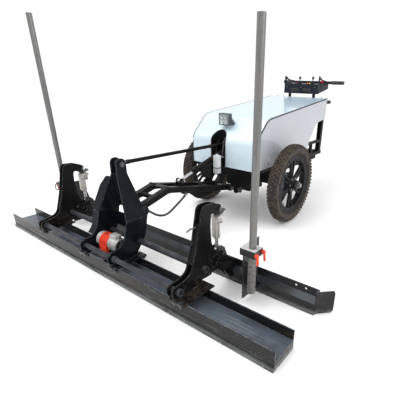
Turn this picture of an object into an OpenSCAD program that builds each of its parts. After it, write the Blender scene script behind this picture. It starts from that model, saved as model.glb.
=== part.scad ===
// Walk-behind power screed: a two-wheeled power cart carries, on a lifting boom, a vibrating pan
// with a strike-off plough beside it. +X runs along the screed, +Y from the pan to the operator.
// The origin is the middle of the pan's sole, which sets the height of the finished slab.

/* [Screed head] */
// Length of the vibrating pan
pan_len = 2500; // [1800:50:3000]
// Width of the pan, front to back
pan_w = 175; // [150:5:200]
// Height of the pan's front and rear lips
pan_h = 112; // [95:1:130]
// Distance of each side tower from the centre frame
tower_x = 672; // [500:1:750]
// Height of the side towers above the ground
tower_h = 565; // [550:5:600]
// Offset of the boom, top link and centre frame from the middle
mech_x = -30; // [-60:5:0]

/* [Plough and masts] */
// Distance of each mast from the centre frame
mast_x = 933; // [850:1:1000]
// Height of the right mast's top above the ground
mast_top = 1395; // [1360:5:1800]
// How much higher the left mast is clamped
mast_raise = 135; // [0:5:140]
// Outside diameter of the masts
mast_d = 38; // [32:1:40]
// Height of the plough
plough_h = 140; // [120:5:160]

/* [Cart] */
// Outside diameter of the tyres
tyre_d = 670; // [600:10:700]
// Width of the tyres
tyre_w = 88; // [70:2:100]
// Distance of each wheel's centre plane from the middle
wheel_x = 465; // [450:5:520]
// Width of the hood
hood_w = 650; // [600:10:700]
// Width of the console
console_w = 390; // [300:10:400]

/* [Hidden] */
$fn = 48;

// Running clearance on a diameter, and the clearance of the two pivots that stay open
fit = 0.1;
loose = 3.4;
// Bolt and pin sizes
pin_d = 20;
small_pin = 14;
eye_pin = 12;

// Pan section
pan_t = 5;
pan_floor = 55;
half_pan = pan_w / 2;
seat_z = pan_h;
base_t = 8;
base_top = seat_z + base_t;
leg_base = 161;
towers = [mech_x - tower_x, mech_x + tower_x];
base_shift = 34;
base_x = [towers[0] - base_shift, towers[1] + base_shift, mech_x - leg_base, mech_x + leg_base];
bolt_y = [-half_pan - 10, half_pan + 22];
bolt_d = 10;
ear_t = 10;
strip_h = 22;
strip_t = 8;

// Tubes that tie the head together
front_tube = [-80, 165];
front_d = 30;
cross_tube = [118, 206];
cross_d = 36;
tube_wall = 4;
tube_end = tower_x + 46;

// Side towers: two plates each, seen from the side as y and z
plate_t = 8;
tower_gap = 30;
plate_x = tower_gap / 2 + plate_t / 2;
hook = [258, tower_h - 48];
tower_outline = [
    [-20, base_top], [72, base_top], [90, 142], [186, 136], [198, 205], [206, 276], [188, 340], [181, 430],
    [188, hook.y - 12], [242, hook.y - 18], [276, hook.y - 4], [266, hook.y + 22], [205, tower_h - 4],
    [122, tower_h], [103, tower_h - 80], [78, 378], [50, 296], [22, 216], [-40, 198], [-116, 192],
    [-116, 130], [-50, 134]];
tower_radii = [4, 4, 14, 18, 60, 24, 60, 60, 12, 24, 12, 16, 40, 34, 120, 120, 90, 60, 60, 24, 24, 18];
web_path = [[40, 258], [60, 308], [84, 380], [109, 466]];

// Links that carry the plough, and the actuator pin on its bracket
link_lower = [148, 170];
link_upper = [162, 238];
link_len = 110;
link_t = 8;
link_x = 28;
bracket_x = 20;
drop_pin = [hook.x, 262];

// Plough section, and where its wings stand
plough_y = 412;
plough_front = 378;
plough_t = 5;
plough_half = pan_len / 2 - 28;
wing = 100;

// Masts in their sockets
mast_y = 237;
sleeve_d = mast_d + 7;
sleeve_z = 88;
clamp_z = 322;
clamp_h = 40;
clamp_w = 78;
lever_gap = 64;
lever_z = clamp_z + clamp_h / 2;
clamp_face = 39;
mast_len = mast_top - sleeve_z - 4;
grip_h = 200;

// Pivots of the boom, its cylinder and the top link, as y and z
boom_pivot = [1132, 300];
head_pivot = [200, 388];
top_pin = [137, 675];
link_pin = [1162, 655];
barrel_pin = [1127, 585];
rod_pin = [637, 452];
boom_bend = [443, 448];
arm_x = 75;
arm = 40;

// Centre frame legs
leg_low_x = 145;
leg_top_x = 27;
leg_t = 10;
fold_z = 355;
tab_z = 612;

// Vibrator
vib_x = mech_x - 20;
vib = [33, base_top + 58];
vib_d = 96;
vib_shaft_d = 24;

// Cart
axle = [1457, tyre_d / 2];
shaft_d = 35;
shaft_end = 560;
bearing_d = 62;
housing_end = 392;
rim_r = 250;
hood_front = 1102;
hood_rear = 2385;
hood_base = 480;
hood_t = 2.5;
hood_top = 980;
hinge = [hood_rear, hood_top - 4];
half_hood = hood_w / 2;
slot_x = mech_x - 15;
slot_w = 150;
slot_top = 765;
rail_x = 265;
rail_z = 385;
rail_top = 478;
frame_x = 292;

// Work lamp on the sloping front of the hood
lamp_x = -20;
lamp_pivot = [1180, 850];
lamp_w = 100;
brow = [[hood_front, 702], [1272, 868]];
brow_lean = atan2(brow[1].y - brow[0].y, brow[1].x - brow[0].x);
lamp_reach = cross(unit(brow[1] - brow[0]), lamp_pivot - brow[0]);

// Console behind the hood
console_y = 2412;
console_rear = 2672;
console_z = 1012;
console_top = 1105;
cheek_top = 1180;
bar = [2692, 1120];
bar_d = 28;

// Routes of the hoses and leads
boom_hose_d = 16;
boom_hose_route = [
    [-100, 292, 380], [-100, 292, 366], [-88, 298, 350], [-70, 308, 334], [-50, 322, 317], [-30, 336, 302],
    [-10, 350, 288], [10, 368, 275], [24, 394, 267], [32, 426, 266], [34, 462, 275], [34, 500, 293],
    [34, 540, 313], [34, 580, 334], [34, 612, 353], [34, 640, 370]];
cylinder_hose_d = 10;
cylinder_hose_route = [
    [8, 1066, 568], [20, 1066, 568], [26, 1068, 582], [27, 1072, 608], [25, 1080, 638], [22, 1090, 666],
    [18, 1106, 694], [16, 1126, 714], [15, 1150, 724], [16, 1176, 722], [18, 1200, 706], [20, 1220, 680],
    [20, 1232, 650], [20, 1240, 622], [20, 1250, 604], [20, 1254, 600], [20, 1266, 600]];
lead_d = 7;
motor_lead_route = [
    [34, 33, 233], [48, 33, 233], [64, 30, 238], [78, 18, 234], [86, 0, 212], [80, -14, 180], [62, -26, 158],
    [40, -40, 150], [20, -52, 148], [8, -56, 144], [4, -56, 138], [4, -56, 128]];
left_lead_route = [
    [-702, 84, 442], [-702, 70, 442], [-702, 54, 434], [-702, 46, 418], [-702, 50, 400], [-702, 62, 390],
    [-702, 74, 390]];
right_lead_route = [
    [642, 86, 456], [642, 70, 456], [642, 56, 459], [642, 40, 457], [642, 26, 451]];

// ---------------------------------------------------------------- shared shapes

function unit(v) = v / norm(v);

// Corner q between p and s, rounded by an arc of radius r
function corner(p, q, s, r) =
    let (a = unit(p - q), b = unit(s - q), half = acos(a * b) / 2,
         middle = q + unit(a + b) * r / sin(half), start = q + a * r / tan(half) - middle,
         from = atan2(start.y, start.x), turn = (180 - 2 * half) * sign(cross(q - p, s - q)),
         steps = max(2, ceil(abs(turn) / 9)))
    [for (i = [0:steps]) middle + r * [cos(from + turn * i / steps), sin(from + turn * i / steps)]];

// Closed outline with every corner rounded, by one radius or by one for each corner
function rounded(pts, r) =
    let (n = len(pts))
    [for (i = [0:n - 1]) each corner(pts[(i + n - 1) % n], pts[i], pts[(i + 1) % n], is_list(r) ? r[i] : r)];

// Open line whose inner corners are rounded
function eased(pts, r) =
    let (n = len(pts))
    [pts[0], each [for (i = [1:n - 2]) each corner(pts[i - 1], pts[i], pts[i + 1], is_list(r) ? r[i] : r)],
     pts[n - 1]];

// Direction of an open line at point i, and the outline of a strip of thickness t on its right
function heading(pts, i) = unit(pts[min(i + 1, len(pts) - 1)] - pts[max(i - 1, 0)]);
function strip(pts, t) =
    concat(pts, [for (i = [len(pts) - 1:-1:0]) pts[i] + t * [heading(pts, i).y, -heading(pts, i).x]]);

// Upright plate across X: the outline is y and z, and x is its middle
module plate(x, t, pts) {
    translate([x - t / 2, 0, 0]) rotate([90, 0, 90]) linear_extrude(t) polygon(pts);
}

// Round bar along X, centred at x, p = y and z
module pin(x, p, d, h, n = 48) {
    translate([x - h / 2, p.x, p.y]) rotate([0, 90, 0]) cylinder(d = d, h = h, $fn = n);
}

module tube(x, p, d, h, wall) {
    difference() {
        pin(x, p, d, h);
        pin(x, p, d - 2 * wall, h + 2);
    }
}

function lean(p, q) = atan2(q.y - p.y, q.x - p.x);

// Round bar in the plane at x, from p to q
module rod(x, p, q, d) {
    translate([x, p.x, p.y]) rotate([lean(p, q) - 90, 0, 0]) cylinder(d = d, h = norm(q - p));
}

// Rectangular bar in the plane at x, from p to q
module bar_between(x, p, q, w, h) {
    translate([x, p.x, p.y]) rotate([lean(p, q), 0, 0]) translate([-w / 2, 0, -h / 2])
        cube([w, norm(q - p), h]);
}

// Hollow rectangular bar, open at both ends
module hollow_bar(x, p, q, size, wall) {
    difference() {
        bar_between(x, p, q, size, size);
        bar_between(x, p - 5 * unit(q - p), q + 5 * unit(q - p), size - 2 * wall, size - 2 * wall);
    }
}

module block(lo, hi) {
    translate(lo) cube(hi - lo);
}

// Flexible tube of diameter d swept along a route, closed at both ends; the route never runs along up
function ahead(r, i) = unit(r[min(i + 1, len(r) - 1)] - r[max(i - 1, 0)]);
module swept(r, d, up = [1, 0, 0.01], sides = 8) {
    rings = [for (i = [0:len(r) - 1])
        let (t = ahead(r, i), u = unit(cross(t, up)), v = cross(t, u))
        for (k = [0:sides - 1]) r[i] + d / 2 * (cos(360 * k / sides) * u + sin(360 * k / sides) * v)];
    last = (len(r) - 1) * sides;
    walls = [for (i = [0:len(r) - 2], k = [0:sides - 1])
        let (a = i * sides + k, b = i * sides + (k + 1) % sides)
        each [[a, a + sides, b + sides], [a, b + sides, b]]];
    polyhedron(rings, concat([[for (k = [0:sides - 1]) k]], walls, [[for (k = [sides - 1:-1:0]) last + k]]));
}

// ---------------------------------------------------------------- screed head

module pan() {
    lip = pan_t;
    color([0.17, 0.18, 0.20]) {
        difference() {
            plate(0, pan_len, [
                [-half_pan, 0], [half_pan, 0], [half_pan, pan_h], [half_pan - lip, pan_h],
                [half_pan - lip, pan_floor], [lip - half_pan, pan_floor], [lip - half_pan, pan_h],
                [-half_pan, pan_h]]);
            plate(0, pan_len - 2 * pan_t, [
                [lip - half_pan, pan_t], [half_pan - lip, pan_t], [half_pan - lip, pan_floor - pan_t],
                [lip - half_pan, pan_floor - pan_t]]);
        }
        // Wear strip along the foot of the front lip
        block([-pan_len / 2, -half_pan - strip_t, 0], [pan_len / 2, -half_pan, strip_h]);
        // Seat across the lips for the vibrator, with the gland its lead goes into
        block([vib_x - 70, -half_pan, seat_z], [vib_x + 70, half_pan, base_top]);
        translate([4, -56, base_top - 1]) cylinder(d = 14, h = 9);
        block([vib_x - 4, lip - half_pan, pan_floor], [vib_x + 4, half_pan - lip, seat_z]);
        // Ears on the lips, under the bolts of every base plate
        for (x = base_x)
            difference() {
                for (edge = [[-half_pan - 20, -half_pan], [half_pan, half_pan + 34]])
                    block([x - 34, edge[0], seat_z - ear_t], [x + 34, edge[1], seat_z]);
                bolt_holes(x);
            }
    }
}

module bolt_holes(x) {
    for (s = [-1, 1], y = bolt_y)
        translate([x + s * 22, y, seat_z - 40]) cylinder(d = bolt_d + 1, h = 80);
}

module front_tube() {
    collar = 12;
    color([0.26, 0.27, 0.29])
    difference() {
        union() {
            pin(mech_x, front_tube, front_d, 2 * tube_end);
            for (s = [-1, 1]) pin(mech_x + s * (tube_end - 5), front_tube, front_d + 12, 10);
            for (x = [-tower_x + 34, tower_x - 34, -leg_low_x - 26, leg_low_x + 26])
                pin(mech_x + x, front_tube, front_d + 12, collar);
        }
        pin(mech_x, front_tube, front_d - 2 * tube_wall, 2 * tube_end + 2);
    }
}

module cross_tube() {
    color([0.22, 0.23, 0.25]) tube(mech_x, cross_tube, cross_d, 2 * tube_end, tube_wall);
}

module tower_plate(x) {
    difference() {
        plate(x, plate_t, rounded(tower_outline, tower_radii));
        pin(x, front_tube, front_d + fit, plate_t + 2);
        pin(x, cross_tube, cross_d + fit, plate_t + 2);
        pin(x, hook, eye_pin + fit, plate_t + 2);
        for (p = [link_lower, link_upper]) pin(x, p, small_pin + fit, plate_t + 2);
    }
}

// One side tower on its base plate, which stands out to its own side; glands hold the actuator's lead
module tower(side, glands) {
    base_w = 116;
    x = mech_x + side * tower_x;
    base = x + side * base_shift;
    color([0.07, 0.07, 0.08]) {
        for (s = [-1, 1]) tower_plate(x + s * plate_x);
        plate(x, tower_gap, strip(eased(web_path, 40), 6));
        for (g = glands) translate([x, g.y, g.z]) rotate([-90, 0, 0]) cylinder(d = 14, h = 24);
        difference() {
            block([base - base_w / 2, -105, seat_z], [base + base_w / 2, 127, base_top]);
            bolt_holes(base);
        }
    }
}

module tower_left() {
    tower(-1, [left_lead_route[0], left_lead_route[len(left_lead_route) - 1]]);
}

module tower_right() {
    tower(1, [right_lead_route[0]]);
}

// One leg of the centre frame: an upright foot, a part that leans inwards, and a tab for the top pin
module centre_leg(side) {
    foot_x = mech_x + side * leg_low_x;
    tab_x = mech_x + side * leg_top_x;
    lean_y = atan2(leg_low_x - leg_top_x, tab_z - fold_z);
    slope = norm([leg_low_x - leg_top_x, tab_z - fold_z]);
    foot = [
        [-18, base_top], [85, base_top], [172, 232], [200, fold_z + 2], [44, fold_z + 2], [18, 262],
        [-20, 212], [-80, 205], [-117, 185], [-117, 145], [-80, 126]];
    foot_r = [4, 4, 60, 1, 1, 60, 50, 25, 20, 20, 20];
    upper = [[44, -3], [200, -3], [228, 24], [222, 62], [190, 84], [172, slope + 3], [100, slope + 3]];
    front_lean = atan2(56, slope);
    tab = [[100, tab_z - 3], [172, tab_z - 3], [172, top_pin.y], [170, top_pin.y + 34],
           [104, top_pin.y + 34], [102, top_pin.y]];
    color([0.08, 0.08, 0.09]) {
        difference() {
            plate(foot_x, leg_t, rounded(foot, foot_r));
            pin(foot_x, front_tube, front_d + fit, leg_t + 2);
            pin(foot_x, cross_tube, cross_d + fit, leg_t + 2);
        }
        difference() {
            translate([foot_x, 0, fold_z]) rotate([0, -side * lean_y, 0]) {
                plate(0, leg_t, rounded(upper, [1, 20, 24, 24, 30, 1, 1]));
                // Flange that stands outwards from the front edge, with a round shoulder
                if (side < 0)
                    translate([0, 44, 0]) rotate([90 - front_lean, 0, 0]) linear_extrude(8, center = true)
                        polygon(rounded([[2, -3], [2, slope - 14], [-34, slope - 22], [-58, slope - 110],
                                         [-58, -3]], [1, 1, 30, 70, 1]));
            }
            pin(foot_x, head_pivot, pin_d + fit, 200);
        }
        if (side < 0)
            plate(foot_x - 30, 60, strip([[-18, 214], [6, 240], [20, 264], [44, fold_z + 2]], 8));
        difference() {
            plate(tab_x, leg_t, rounded(tab, [1, 1, 40, 32, 32, 40]));
            pin(tab_x, top_pin, pin_d + fit, leg_t + 2);
        }
        // Boss that carries the boom's front pin, and the base plate
        difference() {
            pin(mech_x + side * 114, head_pivot, 44, 32);
            pin(mech_x + side * 114, head_pivot, pin_d + fit, 34);
        }
        difference() {
            block([mech_x + side * leg_base - 34, -105, seat_z], [mech_x + side * leg_base + 34, 127, base_top]);
            bolt_holes(mech_x + side * leg_base);
        }
        // Half of the web that ties the two legs behind the vibrator
        block([min(mech_x, foot_x), 150, 242], [max(mech_x, foot_x), 158, 338]);
    }
}

module centre_leg_left() {
    centre_leg(-1);
}

module centre_leg_right() {
    centre_leg(1);
}

// Hexagon-headed bolts that hold the base plates to the pan's ears
module pan_bolts() {
    head_d = 18;
    nut_h = 8;
    color([0.55, 0.56, 0.57])
    for (x = base_x, s = [-1, 1], y = bolt_y)
        translate([x + s * 22, y, 0]) {
            translate([0, 0, base_top]) cylinder(d = head_d, h = 7, $fn = 6);
            translate([0, 0, seat_z - ear_t - nut_h]) cylinder(d = bolt_d, h = base_t + ear_t + nut_h + 1);
            translate([0, 0, seat_z - ear_t - nut_h]) cylinder(d = head_d, h = nut_h, $fn = 6);
        }
}

// Pins of the head: top link, actuators and the tower ends of the plough links
module head_pins() {
    color([0.72, 0.73, 0.74]) {
        pin(mech_x, top_pin, pin_d, 2 * leg_top_x + 40);
        for (x = towers) {
            pin(x, hook, eye_pin, tower_gap + 2 * plate_t + 12);
            for (p = [link_lower, link_upper]) pin(x, p, small_pin, 2 * link_x + link_t + 12);
        }
    }
}

module vibrator_housing() {
    color([0.93, 0.22, 0.07])
    difference() {
        union() {
            pin(vib_x - 28, vib, vib_d, 72);
            for (x = [-62, 6]) pin(vib_x + x, vib, vib_d + 10, 8);
            block([vib_x - 64, vib.x - 56, base_top], [vib_x + 8, vib.x - 34, vib.y - 14]);
            block([vib_x - 64, vib.x + 34, base_top], [vib_x + 8, vib.x + 52, vib.y - 14]);
        }
        pin(vib_x - 28, vib, vib_shaft_d + fit, 120);
        for (x = [vib_x - 52, vib_x - 4], y = [vib.x - 48, vib.x + 46])
            translate([x, y, base_top - 1]) cylinder(d = 9, h = 16);
    }
}

module vibrator_end_caps() {
    color([0.80, 0.80, 0.79])
    for (side = [-1, 1]) {
        h = side < 0 ? 42 : 86;
        inner = side < 0 ? vib_x - 66 : vib_x + 10;
        difference() {
            pin(inner + side * h / 2, vib, vib_d - 4, h);
            pin(inner + side * (h / 2 - 6), vib, vib_d - 16, h);
        }
    }
}

module vibrator_terminal_box() {
    color([0.70, 0.70, 0.68])
    difference() {
        block([vib_x + 14, vib.x - 22, vib.y + vib_d / 2 - 16], [vib_x + 76, vib.x + 22, vib.y + vib_d / 2 + 16]);
        pin(vib_x + 45, vib, vib_d - 4, 80);
    }
    // Gland of the motor's lead
    color([0.10, 0.10, 0.11])
    translate([vib_x + 75, 33, 233]) rotate([0, 90, 0]) cylinder(d = 12, h = 9);
}

// Motor shaft with the eccentric weights that make the vibration
module vibrator_shaft() {
    weight = 26;
    color([0.50, 0.50, 0.52])
    difference() {
        union() {
            pin(vib_x - 7, vib, vib_shaft_d, 174);
            for (x = [vib_x - 86, vib_x + 64]) pin(x, vib, vib_d - 24, weight);
        }
        for (x = [vib_x - 86, vib_x + 64])
            block([x - weight, vib.x - 60, vib.y + vib_shaft_d / 2], [x + weight, vib.x + 60, vib.y + 60]);
    }
}

// ---------------------------------------------------------------- plough, links and masts

// Electric linear actuators that raise and lower the plough
module actuators() {
    tube_d = 42;
    bore = 20;
    neck = hook.y - 50;
    color([0.62, 0.61, 0.59])
    for (x = towers)
        difference() {
            union() {
                pin(x, hook, 28, 22);
                block([x - 11, hook.x - 13, neck], [x + 11, hook.x + 13, hook.y]);
                // Curved guard over the head
                plate(x, 46, strip(eased([[hook.x + 54, neck + 30], [hook.x + 12, neck + 6],
                                          [hook.x - 26, neck + 22]], [0, 60, 0]), 4));
                block([x - 21, hook.x - 21, neck - 12], [x + 21, hook.x + 46, neck + 4]);
                translate([x, hook.x, 338]) cylinder(d = tube_d, h = neck - 338);
                block([x - 14, hook.x - 24, 346], [x + 14, hook.x, neck]);
                translate([x, hook.x + 29, neck - 42]) cylinder(d = 34, h = 36);
            }
            pin(x, hook, eye_pin + fit, 40);
            translate([x, hook.x, 330]) cylinder(d = bore + fit, h = 116);
        }
}

module actuator_rods() {
    rod_d = 20;
    color([0.78, 0.79, 0.80])
    for (x = towers)
        difference() {
            union() {
                translate([x, drop_pin.x, drop_pin.y]) cylinder(d = rod_d, h = 160);
                pin(x, drop_pin, 28, 14);
            }
            pin(x, drop_pin, eye_pin + loose + 1.4, 40);
        }
}

// Pair of flat links on each side, from the tower to the plough bracket
module link_pair(at, clearance) {
    far = at + [link_len, 0];
    color([0.10, 0.10, 0.11])
    for (x = towers, s = [-1, 1])
        difference() {
            union() {
                bar_between(x + s * link_x, at, far, link_t, 24);
                for (p = [at, far]) pin(x + s * link_x, p, 30, link_t);
            }
            pin(x + s * link_x, at, small_pin + fit, 30);
            pin(x + s * link_x, far, small_pin + clearance, 30);
        }
}

module lower_links() {
    link_pair(link_lower, fit);
}

module upper_links() {
    link_pair(link_upper, 0.8);
}

// Bracket plates behind the plough that take the links and the actuator
module plough_bracket(x) {
    q1 = link_upper + [link_len, 0];
    q2 = link_lower + [link_len, 0];
    outline = [
        [plough_front - 1, 20], [plough_front - 1, 60], [plough_y + 1, 90], [plough_y + 1, plough_h - 4],
        [330, 190], [304, 262], [276, 286], [240, 284], [234, 250], [246, 205], [234, 176], [244, 134],
        [296, 106], [340, 50]];
    for (s = [-1, 1])
        difference() {
            plate(x + s * bracket_x, 6, rounded(outline, [1, 1, 1, 1, 30, 20, 14, 14, 12, 16, 12, 14, 30, 20]));
            pin(x, drop_pin, eye_pin + fit, 60);
            for (p = [q1, q2]) pin(x, p, small_pin + fit, 60);
        }
}

module plough_beam() {
    t = plough_t;
    outer = [
        [plough_front - 10, 0], [plough_y + t, 0], [plough_y + t, plough_h], [plough_y, plough_h],
        [plough_y, 92], [plough_front, 64], [plough_front, 14], [plough_front - 10, 4]];
    inner = [[plough_front + t, t], [plough_y, t], [plough_y, 84], [plough_front + t, 60]];
    color([0.09, 0.09, 0.10]) {
        difference() {
            plate(0, 2 * plough_half, outer);
            plate(0, 2 * plough_half + 2, inner);
            for (side = [-1, 1], x = [1085, 1145])
                translate([side * x, plough_y - 1, 118]) rotate([-90, 0, 0]) cylinder(d = 12, h = t + 2);
        }
        for (side = [-1, 1]) {
            // End plate and the wing that guides the concrete inwards
            block([side * plough_half - 3, plough_front, 0], [side * plough_half + 3, plough_y + t, plough_h]);
            translate([side * (plough_half + 1), plough_front + 12, 0]) rotate([0, 0, side > 0 ? 45 : 135])
                rotate([90, 0, 0]) linear_extrude(5, center = true)
                    polygon([[0, 0], [wing - 12, 0], [wing, 14], [wing, plough_h - 18], [wing - 8, plough_h],
                             [0, plough_h]]);
            plough_bracket(mech_x + side * tower_x);
        }
    }
}

// Mast socket: backing plate, gusset, sleeve and split clamp, welded to the plough
module mast_socket(side) {
    x = mech_x + side * mast_x;
    back = x - side * 55;
    face = x + side * clamp_face;
    color([0.16, 0.16, 0.17]) {
        difference() {
            union() {
                block([back - 4, mast_y - 5, 26], [back + 4, plough_front, clamp_z + clamp_h]);
                translate([x, mast_y, sleeve_z]) cylinder(d = sleeve_d, h = clamp_z - sleeve_z + 1);
                block([min(back, face), mast_y - clamp_w / 2, clamp_z],
                      [max(back, face), mast_y + clamp_w / 2, clamp_z + clamp_h]);
                for (z = [120, 250])
                    block([min(back, x), mast_y - 10, z], [max(back, x), mast_y + 10, z + 8]);
            }
            translate([x, mast_y, sleeve_z + 4]) cylinder(d = mast_d + fit, h = clamp_z + clamp_h);
            // Saw cut that lets the clamp close on the mast
            block([min(x, x + side * 60), mast_y - 1.5, clamp_z - 30],
                  [max(x, x + side * 60), mast_y + 1.5, clamp_z + clamp_h + 1]);
            for (s = [-1, 1])
                pin(face, [mast_y + s * lever_gap / 2, lever_z], 10 + fit, 30);
        }
        // Gusset welded across the front of the plough
        translate([back, plough_front, 0]) rotate([90, 0, 0]) linear_extrude(6)
            polygon([[0, 20], [-side * 96, 20], [-side * 96, plough_h], [0, 292]]);
    }
}

module mast_sockets() {
    for (side = [-1, 1]) mast_socket(side);
}

module plough_pins() {
    color([0.72, 0.73, 0.74])
    for (x = towers) {
        pin(x, drop_pin, eye_pin, 2 * bracket_x + 6);
        for (p = [link_lower, link_upper]) pin(x, p + [link_len, 0], small_pin, 2 * link_x + link_t + 8);
    }
}

// Mast tube; a shallow ring groove below the top marks where a receiver's clamp sits
module mast(side, raise) {
    color([0.66, 0.67, 0.68])
    translate([mech_x + side * mast_x, mast_y, sleeve_z + 4 + raise])
        difference() {
            cylinder(d = mast_d, h = mast_len);
            translate([0, 0, -1]) cylinder(d = mast_d - 6, h = mast_len + 2);
            translate([0, 0, mast_len - grip_h - 4])
                difference() {
                    cylinder(d = mast_d + 2, h = 4);
                    translate([0, 0, -1]) cylinder(d = mast_d - 1.6, h = 6);
                }
        }
}

module mast_left() {
    mast(-1, mast_raise);
}

module mast_right() {
    mast(1, 0);
}

// Lever screw that closes the mast clamp
module clamp_lever(side, which) {
    arm_len = 56;
    p = [mast_y + which * lever_gap / 2, lever_z];
    face = mech_x + side * (mast_x + clamp_face);
    color([0.88, 0.20, 0.12]) {
        pin(face + side * 8.5, p, 20, 16);
        pin(face - side * 6, p, 10, 13);
        translate([face + side * 12, p.x, p.y]) rotate([180 + 8, 0, 0]) translate([-4, -6, 0])
            cube([8, 12, arm_len]);
    }
}

module clamp_lever_left_front() {
    clamp_lever(-1, -1);
}

module clamp_lever_left_rear() {
    clamp_lever(-1, 1);
}

module clamp_lever_right_front() {
    clamp_lever(1, -1);
}

module clamp_lever_right_rear() {
    clamp_lever(1, 1);
}

// ---------------------------------------------------------------- boom, top link and lift cylinder

module boom_frame() {
    front = head_pivot;
    shaft = 32;
    hose_exit = boom_hose_route[len(boom_hose_route) - 1];
    color([0.10, 0.10, 0.11])
    difference() {
        union() {
            for (s = [-1, 1]) {
                x = mech_x + s * arm_x;
                hollow_bar(x, front, boom_bend, arm, 4);
                hollow_bar(x, boom_bend, boom_pivot, arm, 4);
                pin(x, boom_bend, arm + 6, arm + 4);
                pin(x, front, 48, arm);
                pin(x, boom_pivot, 56, 50);
                // Belly plate below each arm
                plate(x, 8, rounded([[620, 396], [935, 330], [880, 300], [740, 302]], [1, 1, 70, 70]));
            }
            for (p = [[330, 420], [rod_pin.x, 405], [900, 350]])
                pin(mech_x, p, 34, 2 * arm_x);
            // Flat tie between the bends
            block([mech_x - arm_x, 425, 452], [mech_x + arm_x, 475, 462]);
            // Glands of the hanging hose
            translate(boom_hose_route[0]) cylinder(d = 22, h = 20);
            rod(hose_exit.x, [hose_exit.y, hose_exit.z], [hose_exit.y + 28, hose_exit.z + 17], 22);
            for (s = [-1, 1])
                plate(mech_x + s * 20, 8, rounded([[612, 400], [662, 392], [656, 474], [618, 474]],
                                                  [2, 2, 16, 16]));
        }
        pin(mech_x, front, pin_d + fit, 240);
        pin(mech_x, boom_pivot, shaft + fit, 240);
        pin(mech_x, rod_pin, 16 + fit, 60);
    }
}

module boom_pins() {
    color([0.70, 0.71, 0.72]) {
        pin(mech_x, head_pivot, pin_d, 252);
        pin(mech_x, rod_pin, 16, 58);
    }
}

// Adjustable top link that keeps the head level
module top_link() {
    along = lean(top_pin, link_pin);
    function at(s) = top_pin + s * [cos(along), sin(along)];
    span = norm(link_pin - top_pin);
    color([0.09, 0.09, 0.10])
    difference() {
        union() {
            for (p = [top_pin, link_pin]) pin(mech_x, p, 42, 30);
            rod(mech_x, at(14), at(85), 16);
            rod(mech_x, at(60), at(78), 26);
            rod(mech_x, at(78), at(835), 25);
            rod(mech_x, at(835), at(852), 26);
            rod(mech_x, at(830), at(span - 14), 18);
        }
        pin(mech_x, top_pin, pin_d + loose, 40);
        pin(mech_x, link_pin, pin_d + fit, 40);
    }
}

// Lift cylinder, which pulls the boom up
cyl_lean = lean(barrel_pin, rod_pin);
function cyl_at(s) = barrel_pin + s * [cos(cyl_lean), sin(cyl_lean)];
cyl_len = norm(rod_pin - barrel_pin);

module lift_barrel() {
    color([0.12, 0.12, 0.13])
    difference() {
        union() {
            pin(mech_x, barrel_pin, 44, 40);
            rod(mech_x, cyl_at(14), cyl_at(60), 36);
            rod(mech_x, cyl_at(45), cyl_at(cyl_len - 170), 50);
            rod(mech_x, cyl_at(cyl_len - 178), cyl_at(cyl_len - 158), 56);
            // Port for the hose
            pin(mech_x + 19, [1066, 568], 18, 38);
        }
        pin(mech_x, barrel_pin, pin_d + fit, 50);
        rod(mech_x, cyl_at(cyl_len - 440), cyl_at(cyl_len), 24 + fit);
    }
}

module lift_rod() {
    color([0.85, 0.86, 0.87])
    difference() {
        union() {
            rod(mech_x, cyl_at(cyl_len - 250), cyl_at(cyl_len - 8), 24);
            pin(mech_x, rod_pin, 36, 26);
        }
        pin(mech_x, rod_pin, 16 + loose, 30);
    }
}

// ---------------------------------------------------------------- cart

module chassis_frame() {
    wall = 6;
    color([0.06, 0.06, 0.07]) {
        for (s = [-1, 1]) {
            difference() {
                block([s * rail_x - 25, 1112, rail_z], [s * rail_x + 25, 2320, rail_top]);
                block([s * rail_x - 20, 1118, rail_z + 5], [s * rail_x + 20, 2330, rail_top - 5]);
            }
            // Outriggers that carry the hood's side panels
            for (y = [1170, 1560, 1930])
                block([min(s * rail_x, s * (half_hood - hood_t)), y, rail_top - 6],
                      [max(s * rail_x, s * (half_hood - hood_t)), y + 40, rail_top + 14]);
            // Bearing plates for the boom's pivot shaft
            difference() {
                plate(mech_x + s * 165, 12, rounded(
                    [[1090, 330], [1090, 270], [1170, 270], [1215, 345], [1215, rail_top], [1118, rail_top],
                     [1118, 345]], [6, 28, 28, 10, 1, 1, 10]));
                pin(mech_x + s * 165, boom_pivot, 32 + fit, 20);
            }
        }
        block([40, 1112, 340], [rail_x - 25, 1112 + wall, rail_top]);
        block([25 - rail_x, 1112, 340], [-130, 1112 + wall, rail_top]);
        for (y = [1150, 1215, 1310, 1620, 1930, 2260])
            block([25 - rail_x, y, rail_z + 30], [rail_x - 25, y + 50, rail_top]);
        // Floor plate under the engine bay
        block([25 - rail_x, 1670, rail_z + 30], [rail_x - 25, 1930, rail_z + 36]);
        block([25 - rail_x, 1980, rail_z + 30], [rail_x - 25, 2260, rail_z + 36]);
    }
}

// Two uprights that hold the cylinder and the top link
module linkage_tower() {
    outline = [[1094, 560], [1094, 610], [1130, 690], [1194, 690], [1265, 560], [1265, rail_top], [1150, rail_top]];
    color([0.08, 0.08, 0.09])
    for (s = [-1, 1])
        difference() {
            plate(mech_x + s * 30, 8, rounded(outline, [20, 20, 24, 24, 30, 1, 20]));
            pin(mech_x, barrel_pin, pin_d + fit, 100);
            pin(mech_x, link_pin, pin_d + fit, 100);
        }
}

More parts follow.
